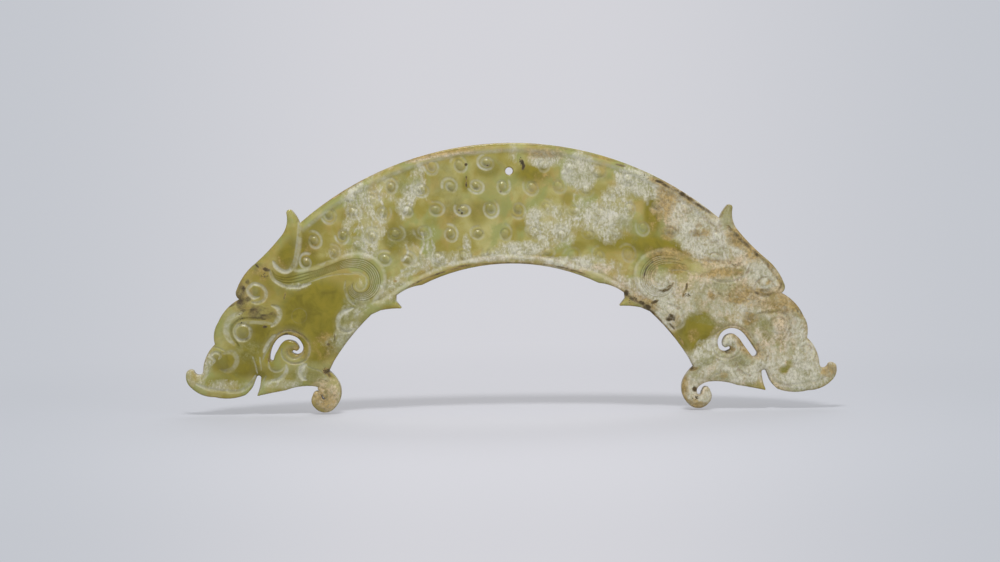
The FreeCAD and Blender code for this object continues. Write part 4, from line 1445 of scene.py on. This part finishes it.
class Nodes:
    """Small helper that adds and links shader nodes in one tree."""

    def __init__(self, tree: bpy.types.NodeTree):
        """Keeps the tree."""
        self.tree = tree

    def add(
        self, kind: str, inputs: dict[int | str, Source] | None = None, **settings: object
    ) -> bpy.types.Node:
        """Adds a node.

        Args:
            kind: Its type's name.
            inputs: Numbers, colours or other nodes' outputs for its inputs, by name or number.
            **settings: Its properties.

        Returns:
            The node.
        """
        node = self.tree.nodes.new(kind)
        for name, value in settings.items():
            setattr(node, name, value)
        for name, source in (inputs or {}).items():
            self.feed(source, node.inputs[name])
        return node

    def feed(self, source: Source, target: bpy.types.NodeSocket) -> None:
        """Sets an input.

        Args:
            source: A number, a colour or another node's output.
            target: The input.
        """
        if isinstance(source, bpy.types.NodeSocket):
            self.tree.links.new(source, target)
        elif isinstance(source, (tuple, list)) and target.type == "RGBA":
            target.default_value = (*source, 1.0)
        else:
            target.default_value = source

    def calc(
        self, operation: str, first: Source, second: Source = 0.0, third: Source = 0.0, clamp: bool = False
    ) -> Source:
        """Works out one number from up to three."""
        inputs = dict(enumerate((first, second, third)))
        return self.add("ShaderNodeMath", inputs, operation=operation, use_clamp=clamp).outputs[0]

    def times(self, first: Source, second: Source) -> Source:
        """Multiplies two numbers."""
        return self.calc("MULTIPLY", first, second)

    def scaled(self, first: Source, second: Source, offset: Source) -> Source:
        """Multiplies two numbers and adds a third."""
        return self.calc("MULTIPLY_ADD", first, second, offset)

    def ease(
        self, value: Source, low: Source, high: Source, out_low: Source = 0.0, out_high: Source = 1.0
    ) -> Source:
        """Eases a value from one range into another."""
        inputs = dict(enumerate((value, low, high, out_low, out_high)))
        return self.add("ShaderNodeMapRange", inputs, interpolation_type="SMOOTHSTEP").outputs[0]

    def mix(self, share: Source, first: Source, second: Source) -> Source:
        """Mixes two colours; a share of 0 is the first."""
        return self.add("ShaderNodeMix", {0: share, 6: first, 7: second}, data_type="RGBA").outputs[2]

    def noise(
        self, place: Source, scale: Source, detail: float = 4.0, rough: float = 0.6, twist: float = 0.0
    ) -> Source:
        """Adds noise over a place, from 0 to 1, with so many features per metre."""
        inputs = {"Vector": place, "Scale": scale, "Detail": detail, "Roughness": rough, "Distortion": twist}
        return self.add("ShaderNodeTexNoise", inputs).outputs["Fac"]

    def mark(self, mark: Mark) -> Source:
        """Reads a mark of the mesh."""
        return self.add("ShaderNodeAttribute", attribute_name=mark.value).outputs["Fac"]

    def use(self, tree: bpy.types.NodeTree, **inputs: Source) -> bpy.types.Node:
        """Places a node group and feeds it."""
        return self.add("ShaderNodeGroup", inputs, node_tree=tree)

    def bump(self, height: Source, strength: float, distance: float) -> Source:
        """Roughens a surface; a height of 1 stands so many metres out."""
        inputs = {"Height": height, "Strength": strength, "Distance": distance}
        return self.add("ShaderNodeBump", inputs).outputs[0]


class Kind(Enum):
    """Kinds of socket of a node group."""

    COLOUR = "NodeSocketColor"
    NUMBER = "NodeSocketFloat"
    VECTOR = "NodeSocketVector"


def group(
    name: str, inputs: dict[str, Kind], outputs: dict[str, Kind]
) -> tuple[bpy.types.NodeTree, Nodes, bpy.types.Node, bpy.types.Node]:
    """Starts a shader node group.

    Args:
        name: Its name.
        inputs: Kind of every input socket by name.
        outputs: Kind of every output socket by name.

    Returns:
        The group, its helper, and its input and output nodes.
    """
    tree = bpy.data.node_groups.new(name, "ShaderNodeTree")
    for socket, kind in inputs.items():
        tree.interface.new_socket(socket, in_out="INPUT", socket_type=kind.value)
    for socket, kind in outputs.items():
        tree.interface.new_socket(socket, in_out="OUTPUT", socket_type=kind.value)
    nodes = Nodes(tree)
    return tree, nodes, nodes.add("NodeGroupInput"), nodes.add("NodeGroupOutput")


def altered_stone() -> bpy.types.NodeTree:
    """A group that lays one kind of altered stone over a colour.

    Inside its zone the alteration breaks up into clouds, mottles and single grains of stone.

    Returns:
        The group: base colour, zone, place, three tones, fineness, cover, white threads and dark specks in,
        colour and coverage out.
    """
    inputs = {"Base": Kind.COLOUR, "Zone": Kind.NUMBER, "Place": Kind.VECTOR}
    inputs |= {name: Kind.COLOUR for name in ("Dull", "Bright", "Tint")}
    inputs |= {name: Kind.NUMBER for name in ("Fineness", "Cover", "Lace", "Pepper")}
    outputs = {"Colour": Kind.COLOUR, "Coverage": Kind.NUMBER}
    tree, nodes, entry, leave = group("AlteredStone", inputs, outputs)
    given = entry.outputs
    zone, place, fine = given["Zone"], given["Place"], given["Fineness"]

    def centred(scale: float, detail: float, roughness: float, distortion: float) -> Source:
        """Noise about zero, its features finer the larger the scale."""
        value = nodes.noise(place, nodes.times(fine, scale), detail, roughness, distortion)
        return nodes.calc("SUBTRACT", value, 0.5)

    cloud = centred(150.0, 3.0, 0.6, 0.8)
    mottle = centred(360.0, 4.0, 0.62, 0.3)
    grain = centred(1500.0, 2.0, 0.6, 0.4)
    lace = nodes.ease(nodes.calc("ABSOLUTE", centred(420.0, 3.0, 0.65, 1.2)), 0.0, 0.11, 1.0, 0.0)
    lace = nodes.times(lace, given["Lace"])
    dense = nodes.scaled(cloud, 1.8, zone)
    dense = nodes.scaled(mottle, 1.2, dense)
    haze = nodes.times(nodes.ease(dense, 0.05, 0.85), 0.72)
    dense = nodes.scaled(grain, 1.1, dense)
    dense = nodes.scaled(lace, 0.12, dense)
    body = nodes.calc("MAXIMUM", haze, nodes.ease(dense, 0.15, 1.0))
    cover = nodes.times(nodes.times(body, nodes.ease(zone, 0.0, 0.3)), given["Cover"])
    light = nodes.scaled(grain, 1.4, nodes.scaled(mottle, 1.4, 0.52))
    light = nodes.scaled(lace, 0.14, light)
    tone = nodes.mix(nodes.ease(light, 0.1, 0.9), given["Dull"], given["Bright"])
    tinted = nodes.ease(centred(330.0, 3.0, 0.6, 1.0), 0.0, 0.2, 0.0, 0.6)
    tone = nodes.mix(tinted, tone, given["Tint"])
    pepper = nodes.ease(centred(1250.0, 2.0, 0.6, 0.5), -0.2, -0.1, 1.0, 0.0)
    tone = nodes.mix(nodes.times(pepper, given["Pepper"]), tone, PEPPER_COLOUR)
    nodes.feed(nodes.mix(cover, given["Base"], tone), leave.inputs["Colour"])
    nodes.feed(cover, leave.inputs["Coverage"])
    return tree


def backdrop_tone() -> bpy.types.NodeTree:
    """A group for the pale paper behind the pendant, a little darker to the sides.

    Returns:
        The group: direction and two colours in, colour out.
    """
    tree, nodes, entry, leave = group(
        "BackdropTone",
        {"Direction": Kind.VECTOR, "Middle": Kind.COLOUR, "Side": Kind.COLOUR},
        {"Colour": Kind.COLOUR},
    )
    parts = nodes.add("ShaderNodeSeparateXYZ", {0: entry.outputs["Direction"]})
    aside = nodes.ease(nodes.calc("ABSOLUTE", parts.outputs[0]), 0.02, 0.19)
    nodes.feed(nodes.mix(aside, entry.outputs["Middle"], entry.outputs["Side"]), leave.inputs["Colour"])
    return tree


class JadeShader:
    """Works out the colour and the surface of the stone, layer by layer."""

    STRETCH = (1.2, 1.0, 0.8)

    def __init__(self, nodes: Nodes, altered: bpy.types.NodeTree, finish: JadeFinish):
        """Adds what several layers share.

        Args:
            nodes: The material's node helper.
            altered: The group that lays altered stone.
            finish: The stone's colours.
        """
        self.nodes = nodes
        self.altered = altered
        self.finish = finish
        self.place = nodes.add("ShaderNodeTexCoord").outputs["Object"]
        self.cloudy = nodes.noise(self.place, 240.0, 5.0, 0.6, 0.5)
        self.fine = nodes.noise(self.place, 800.0, 4.0, 0.65)
        self.cream = nodes.mark(Mark.CREAM)

    def lay(self, base: Source, zone: Source, place: Source, stone: Altered) -> tuple[Source, Source]:
        """Lays one kind of altered stone over a colour.

        Args:
            base: Colour under it.
            zone: Where it lies.
            place: Place in the stone.
            stone: Its colours and how it breaks up.

        Returns:
            The colour and how much of the stone it covers.
        """
        node = self.nodes.use(
            self.altered, Base=base, Zone=zone, Place=place,
            Dull=stone.dull, Bright=stone.bright, Tint=stone.tint,
            Fineness=stone.fineness, Cover=stone.cover, Lace=stone.lace, Pepper=stone.pepper,
        )
        return node.outputs["Colour"], node.outputs["Coverage"]

    def body(self) -> Source:
        """Mixes the unaltered stone, cloudy olive with clear, warm and leaf green parts.

        Returns:
            Its colour.
        """
        nodes, finish = self.nodes, self.finish
        drift = nodes.noise(self.place, 70.0, 4.0, 0.55, 0.4)
        stir = nodes.scaled(nodes.calc("SUBTRACT", self.cloudy, 0.5), 0.7, drift)
        colour = nodes.mix(nodes.ease(stir, 0.3, 0.7), finish.body.dull, finish.body.bright)
        warm = nodes.noise(self.place, 120.0, 4.0, 0.6, 0.8)
        colour = nodes.mix(nodes.ease(warm, 0.47, 0.62, 0.0, 0.55), colour, finish.body.tint)
        leafy = nodes.noise(self.place, 95.0, 4.0, 0.6, 0.6)
        colour = nodes.mix(nodes.ease(leafy, 0.46, 0.62, 0.0, 0.8), colour, finish.leaf)
        depth = nodes.scaled(nodes.calc("SUBTRACT", stir, 0.5), 0.6, nodes.mark(Mark.CLEAR))
        glow = nodes.mix(nodes.ease(self.cloudy, 0.35, 0.65), finish.clear.dull, finish.clear.bright)
        colour = nodes.mix(nodes.ease(depth, 0.05, 0.85), colour, glow)
        return nodes.mix(nodes.times(nodes.mark(Mark.CORE), 0.9), colour, finish.core)

    def alter(self, colour: Source) -> tuple[Source, dict[Mark, Source]]:
        """Lays the altered stone.

        Args:
            colour: Colour of the stone under it.

        Returns:
            The colour, and how much each kind covers.
        """
        nodes, finish = self.nodes, self.finish
        stained = nodes.ease(nodes.mark(Mark.SOIL), 0.02, 0.4, 0.0, 0.55)
        upright = nodes.add("ShaderNodeVectorMath", {0: self.place, 1: self.STRETCH}, operation="MULTIPLY")
        brown = nodes.calc("MAXIMUM", nodes.mark(Mark.BROWN), stained)
        covers = {}
        for mark, zone, place, stone in (
            (Mark.CREAM, self.cream, self.place, finish.cream),
            (Mark.CALCITE, nodes.mark(Mark.CALCITE), upright.outputs[0], finish.calcite),
            (Mark.GREEN, nodes.mark(Mark.GREEN), self.place, finish.green),
            (Mark.BROWN, brown, self.place, finish.brown),
        ):
            colour, covers[mark] = self.lay(colour, zone, place, stone)
        return colour, covers

    def carving(self, colour: Source) -> Source:
        """Colours crests, hollows, worked grooves and edges; on the grains the pale of the grooves is partly
        painted light, stronger on their lower halves.

        Args:
            colour: Colour of the stone.

        Returns:
            The colour.
        """
        nodes, finish = self.nodes, self.finish
        cavity = nodes.mark(Mark.CAVITY)
        wear = nodes.ease(nodes.noise(self.place, 300.0, 4.0, 0.6, 0.6), 0.34, 0.58, 0.3, 1.0)
        # The pale mark is worked stone, and on the grains also painted light on their lower halves.
        pale = nodes.times(nodes.mark(Mark.PALE), wear)
        colour = nodes.mix(nodes.calc("MULTIPLY", cavity, -0.12, clamp=True), colour, finish.worked)
        hollow = nodes.calc("MULTIPLY", cavity, 0.6, clamp=True)
        grimy = nodes.times(hollow, nodes.ease(self.fine, 0.3, 0.65))
        grimy = nodes.times(grimy, nodes.calc("SUBTRACT", 1.0, pale, clamp=True))
        colour = nodes.mix(grimy, colour, nodes.mix(self.cream, finish.hair, finish.dirty))
        dirty = nodes.times(self.cream, nodes.ease(self.fine, 0.42, 0.6))
        worked = nodes.mix(dirty, finish.worked, finish.dirty)
        colour = nodes.mix(nodes.times(pale, nodes.ease(self.fine, 0.3, 0.7, 0.6, 1.0)), colour, worked)
        colour = nodes.mix(nodes.times(nodes.mark(Mark.HAIR), 0.7), colour, finish.hair)
        # Darkens a thin band along the whole outline towards brown.
        brim = nodes.times(nodes.mark(Mark.EDGE), nodes.ease(self.cloudy, 0.3, 0.7, 0.1, 0.6))
        return nodes.mix(brim, colour, finish.rim)

    def grit(self, colour: Source, altered: Source) -> Source:
        """Strews single dark and pale grains.

        Args:
            colour: Colour of the stone.
            altered: How much of it is altered.

        Returns:
            The colour.
        """
        nodes, finish = self.nodes, self.finish
        grit = nodes.noise(self.place, 1050.0, 3.0, 0.62, 0.5)
        shade = nodes.times(nodes.ease(grit, 0.32, 0.5, 1.0, 0.0), nodes.scaled(altered, 0.28, 0.05))
        colour = nodes.mix(shade, colour, finish.leaf_shade)
        light = nodes.times(nodes.ease(grit, 0.5, 0.68), nodes.times(altered, 0.4))
        return nodes.mix(light, colour, finish.worked)

    def build(self, shader: bpy.types.Node) -> None:
        """Puts all layers together.

        Args:
            shader: The material's Principled BSDF.
        """
        nodes, finish = self.nodes, self.finish
        colour, covers = self.alter(self.body())
        calcite, cream = covers[Mark.CALCITE], covers[Mark.CREAM]
        colour = self.grit(self.carving(colour), nodes.calc("MAXIMUM", calcite, cream))
        colour, dirt = self.lay(colour, nodes.mark(Mark.SOIL), self.place, finish.soil)
        dull = nodes.scaled(calcite, 0.2, finish.roughness)
        dull = nodes.scaled(cream, 0.16, dull)
        dull = nodes.scaled(dirt, 0.4, dull)
        rough = nodes.calc("ADD", nodes.calc("ADD", calcite, cream), nodes.scaled(dirt, 1.5, 0.12))
        height = nodes.times(rough, nodes.noise(self.place, 1700.0, 4.0, 0.7))
        height = nodes.calc("ADD", height, nodes.noise(self.place, 190.0, 2.0, 0.5))
        for name, value in {
            "Base Color": colour, "Roughness": dull, "Specular IOR Level": finish.specular,
            "Subsurface Weight": finish.subsurface, "Subsurface Radius": finish.subsurface_radius,
            "Subsurface Scale": finish.depth, "Normal": nodes.bump(height, finish.bump, finish.bump_depth),
        }.items():
            nodes.feed(value, shader.inputs[name])


class Materials:
    """The finishes of the pendant and the room."""

    def __init__(self):
        """Makes the node groups that the finishes share."""
        self.altered = altered_stone()
        self.backdrop = backdrop_tone()

    def start(self, name: str) -> tuple[bpy.types.Material, Nodes, bpy.types.Node]:
        """Starts a material.

        Args:
            name: Its name.

        Returns:
            The material, its node helper and its Principled BSDF.
        """
        material = bpy.data.materials.new(name)
        material.use_nodes = True
        return material, Nodes(material.node_tree), material.node_tree.nodes["Principled BSDF"]

    def jade(self, finish: JadeFinish) -> bpy.types.Material:
        """The stone, with its alteration, worked grooves and soil.

        Args:
            finish: Its colours and surface.

        Returns:
            The material.
        """
        material, nodes, shader = self.start("carved_jade")
        JadeShader(nodes, self.altered, finish).build(shader)
        return material

    def soil(self, finish: SoilFinish) -> bpy.types.Material:
        """Dull crumbly soil.

        Args:
            finish: Its colours and surface.

        Returns:
            The material.
        """
        material, nodes, shader = self.start("burial_soil")
        speck = nodes.noise(nodes.add("ShaderNodeTexCoord").outputs["Object"], 2400.0, 4.0, 0.7)
        colour = nodes.mix(nodes.ease(speck, 0.4, 0.72), finish.dark, finish.light)
        nodes.feed(colour, shader.inputs["Base Color"])
        nodes.feed(finish.roughness, shader.inputs["Roughness"])
        nodes.feed(nodes.bump(speck, finish.bump, finish.bump_depth), shader.inputs["Normal"])
        return material

    def ground(self, albedo: float, middle: Colour, side: Colour) -> bpy.types.Material:
        """The floor, which partly glows with painted light in the background's colour and runs out into it.

        Args:
            albedo: Share of the background's colour that it has near the pendant.
            middle: Colour of the background's middle.
            side: Colour of its sides.

        Returns:
            The material.
        """
        material, nodes, shader = self.start("studio_floor")
        seen = nodes.add("ShaderNodeNewGeometry").outputs["Incoming"]
        tone = nodes.use(self.backdrop, Direction=seen, Middle=middle, Side=side).outputs[0]
        lit = nodes.add("ShaderNodeVectorMath", {0: tone, "Scale": albedo}, operation="SCALE")
        nodes.feed(lit.outputs[0], shader.inputs["Base Color"])
        nodes.feed(0.9, shader.inputs["Roughness"])
        nodes.feed(0.1, shader.inputs["Specular IOR Level"])
        place = nodes.add("ShaderNodeTexCoord").outputs["Object"]
        away = nodes.add("ShaderNodeVectorMath", {0: place}, operation="LENGTH").outputs["Value"]
        # Painted light: the floor glows with the backdrop's tone, 0.4 of its look near the pendant, which
        # pales its shadow, and all of it far away.
        glow = nodes.add("ShaderNodeEmission", {"Color": tone}).outputs[0]
        share = nodes.ease(away, 0.05, 0.25, 0.4, 1.0)
        blend = nodes.add("ShaderNodeMixShader", {0: share, 1: shader.outputs[0], 2: glow})
        nodes.feed(blend.outputs[0], material.node_tree.nodes["Material Output"].inputs["Surface"])
        return material


@dataclass(frozen=True)
class CrumbSizes:
    """Number, sizes and shape of the crumbs of a crust; radius and height in millimetres."""

    number: int = 24
    radius: tuple[float, float] = (0.06, 0.22)
    height: tuple[float, float] = (0.04, 0.12)
    spread: float = 4.5
    sides: int = 9
    rings: int = 3
    wobble: float = 0.28
    bumps: float = 0.2
    sunk: float = 0.04 * MM
    foot: float = 0.1 * MM
    clearance: float = 0.1 * MM


class SoilPatches:
    """Crusts of burial soil on the front of the slab."""

    NAMES = (
        "soil_left_forehead", "soil_left_plume", "soil_left_neck", "soil_crown_vein", "soil_right_rim",
        "soil_right_barb", "soil_right_scroll", "soil_right_curl",
    )

    def __init__(self, slab: Slab, sizes: CrumbSizes, finish: bpy.types.Material):
        """Keeps the slab that the soil lies on.

        Args:
            slab: The carved slab.
            sizes: Sizes of the crumbs.
            finish: The soil's material.
        """
        self.relief = slab.relief
        self.slab_sizes = slab.sizes
        self.sizes = sizes
        self.finish = finish
        self.random = np.random.default_rng(SEED + 1)

    def surface(self, x: np.ndarray, z: np.ndarray) -> np.ndarray:
        """Finds the carved front.

        Args:
            x: X of the places.
            z: Z of the places.

        Returns:
            Y of the front there.
        """
        raster = self.relief.raster
        cut = raster.sample(self.relief.cut, x, z)
        rim = np.maximum(raster.sample(self.relief.rim, x, z), 0.02 * MM)
        return -(self.slab_sizes.thickness / 2 - cut - self.slab_sizes.drop(rim))

    def crumb(self, middle: np.ndarray, start: int) -> tuple[np.ndarray, list[tuple[int, ...]]]:
        """Makes one flat lump that follows the carved surface.

        Args:
            middle: X and Z of its middle.
            start: Number of its first vertex.

        Returns:
            Its vertices and faces.
        """
        sizes = self.sizes
        sides, rings = sizes.sides, sizes.rings
        radius = self.random.uniform(*sizes.radius) * MM
        height = self.random.uniform(*sizes.height) * MM
        wobble = np.clip(1 + sizes.wobble * self.random.standard_normal(sides), 0.5, 1.6)
        turns = np.linspace(0, 2 * math.pi, sides, endpoint=False)
        rows = []
        for ring in range(rings + 1):
            share = 1 - ring / rings
            x = middle[0] + radius * share * wobble * np.cos(turns)
            z = middle[1] + radius * share * wobble * np.sin(turns)
            bumps = 1 + sizes.bumps * self.random.standard_normal(sides)
            lift = height * (1 - share**2.2) * bumps - sizes.sunk
            rows.append(np.stack([x, self.surface(x, z) - lift, z], axis=1))
        base = rows[0].copy()
        base[:, 1] += sizes.foot
        places = np.vstack([base, *rows[:-1], rows[-1].mean(axis=0, keepdims=True)])
        faces = []
        for ring in range(rings):
            for side in range(sides):
                a, b = start + ring * sides + side, start + ring * sides + (side + 1) % sides
                faces.append((a, a + sides, b + sides, b))
        tip = start + len(places) - 1
        for side in range(sides):
            a, b = rings * sides + side, rings * sides + (side + 1) % sides
            faces.append((start + a, tip, start + b))
        faces.append(tuple(start + side for side in range(sides)))
        return places, faces

    def patch(self, name: str) -> bpy.types.Object:
        """Makes the crust that stands for one CAD node.

        Args:
            name: The node.

        Returns:
            The crust.
        """
        sizes = self.sizes
        low, high = (np.array((corner.x, corner.z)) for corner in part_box(name))
        places, faces, count = [], [], 0
        for _ in range(sizes.number):
            middle = np.clip(self.random.normal((low + high) / 2, (high - low) / sizes.spread), low, high)
            rim = self.relief.raster.sample(self.relief.rim, *middle.reshape(2, 1))
            if float(rim[0]) < sizes.clearance:
                continue
            crumb, sides = self.crumb(middle, count)
            places.append(crumb)
            faces += sides
            count += len(crumb)
        piece = mesh_object(name + "_crust", np.vstack(places), faces)
        piece.data.materials.append(self.finish)
        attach(piece, "root")
        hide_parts(name)
        return piece

    def build(self) -> list[bpy.types.Object]:
        """Makes all the crusts."""
        return [self.patch(name) for name in self.NAMES]


@dataclass(frozen=True)
class Lamp:
    """A soft box: where it hangs, its width and height in metres, and its power in watts."""

    name: str
    place: tuple[float, float, float]
    size: tuple[float, float]
    power: float


@dataclass(frozen=True)
class StudioSizes:
    """Sizes, colours and strengths of the room."""

    floor_radius: float = 9.0
    floor_level: float = -64.9 * MM
    floor_share: float = 0.87
    middle: Colour = (0.655, 0.655, 0.695)
    side: Colour = (0.550, 0.570, 0.615)
    room_colour: Colour = (0.97, 0.98, 1.0)
    room_light: float = 0.5
    lit: tuple[float, float, float] = (0, 0, -0.03)
    lamps: tuple[Lamp, ...] = (
        Lamp("key", (-0.04, -0.36, 0.56), (0.2, 0.12), 3.1),
        Lamp("fill", (0.7, -0.6, 0.3), (0.5, 0.5), 1.0),
        Lamp("rim", (0.1, 0.6, 0.5), (0.6, 0.3), 1.5),
    )
    focal: float = 100.0
    sensor: float = 36.0
    clip: tuple[float, float] = (0.01, 50.0)
    distance: float = 0.748
    aim: tuple[float, float, float] = (-2.75 * MM, 0.0, -29.55 * MM)
    elevation: float = 3.0
    roll: float = -0.68


class Studio:
    """Floor, light and camera."""

    def __init__(self, sizes: StudioSizes, materials: Materials):
        """Keeps the sizes and the finishes."""
        self.sizes = sizes
        self.materials = materials

    def floor(self) -> bpy.types.Object:
        """Lays the floor under the pendant.

        Returns:
            The floor.
        """
        sizes = self.sizes
        bpy.ops.mesh.primitive_circle_add(
            vertices=96, radius=sizes.floor_radius, fill_type="NGON", location=(0, 0, sizes.floor_level)
        )
        floor = bpy.context.object
        floor.name = "studio_floor"
        floor.data.materials.append(self.materials.ground(sizes.floor_share, sizes.middle, sizes.side))
        return floor

    def world(self) -> None:
        """Fills the room with soft light and a pale background."""
        sizes = self.sizes
        world = bpy.data.worlds.new("studio")
        bpy.context.scene.world = world
        world.use_nodes = True
        tree = world.node_tree
        nodes = Nodes(tree)
        direction = nodes.add("ShaderNodeTexCoord").outputs["Generated"]
        tone = nodes.use(self.materials.backdrop, Direction=direction, Middle=sizes.middle, Side=sizes.side)
        shown = nodes.add("ShaderNodeBackground", {"Color": tone.outputs[0]}).outputs[0]
        light = tree.nodes["Background"]
        nodes.feed(sizes.room_colour, light.inputs["Color"])
        nodes.feed(sizes.room_light, light.inputs["Strength"])
        seen = nodes.add("ShaderNodeLightPath").outputs["Is Camera Ray"]
        blend = nodes.add("ShaderNodeMixShader", {0: seen, 1: light.outputs[0], 2: shown})
        nodes.feed(blend.outputs[0], tree.nodes["World Output"].inputs["Surface"])

    def lamp(self, lamp: Lamp) -> None:
        """Hangs a soft box.

        Args:
            lamp: Its place, size and power.
        """
        light = bpy.data.lights.new(lamp.name, "AREA")
        light.shape = "RECTANGLE"
        light.size, light.size_y = lamp.size
        light.energy = lamp.power
        made = bpy.data.objects.new(lamp.name, light)
        made.location = lamp.place
        way = Vector(self.sizes.lit) - Vector(lamp.place)
        made.rotation_euler = way.to_track_quat("-Z", "Y").to_euler()
        bpy.context.scene.collection.objects.link(made)

    def camera(self) -> None:
        """Sets the camera at the view of the picture."""
        sizes = self.sizes
        data = bpy.data.cameras.new("camera")
        data.lens = sizes.focal
        data.sensor_width = sizes.sensor
        data.clip_start, data.clip_end = sizes.clip
        camera = bpy.data.objects.new("camera", data)
        turn = math.radians(sizes.elevation)
        aim = Vector(sizes.aim)
        camera.location = aim + sizes.distance * Vector((0, -math.cos(turn), math.sin(turn)))
        camera.rotation_euler = (aim - camera.location).to_track_quat("-Z", "Y").to_euler()
        camera.rotation_euler.rotate_axis("Z", math.radians(sizes.roll))
        bpy.context.scene.collection.objects.link(camera)
        bpy.context.scene.camera = camera

    def build(self) -> bpy.types.Object:
        """Sets up the whole room.

        Returns:
            Its floor.
        """
        floor = self.floor()
        self.world()
        for lamp in self.sizes.lamps:
            self.lamp(lamp)
        self.camera()
        scene = bpy.context.scene
        scene.view_settings.view_transform = "Standard"
        scene.view_settings.look = "None"
        return floor


def report(piece: bpy.types.Object) -> None:
    """Logs a finished piece."""
    LOG.info("%s: %d vertices, %d faces", piece.name, len(piece.data.vertices), len(piece.data.polygons))


def main() -> None:
    """Builds the pendant and the room in order."""
    logging.basicConfig(level=logging.INFO)
    materials = Materials()
    slab = Slab(SlabSizes(), Tracing())
    report(slab.build(materials.jade(JadeFinish())))
    for crust in SoilPatches(slab, CrumbSizes(), materials.soil(SoilFinish())).build():
        report(crust)
    report(Studio(StudioSizes(), materials).build())


if __name__ == "__main__":
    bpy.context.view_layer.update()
    main()
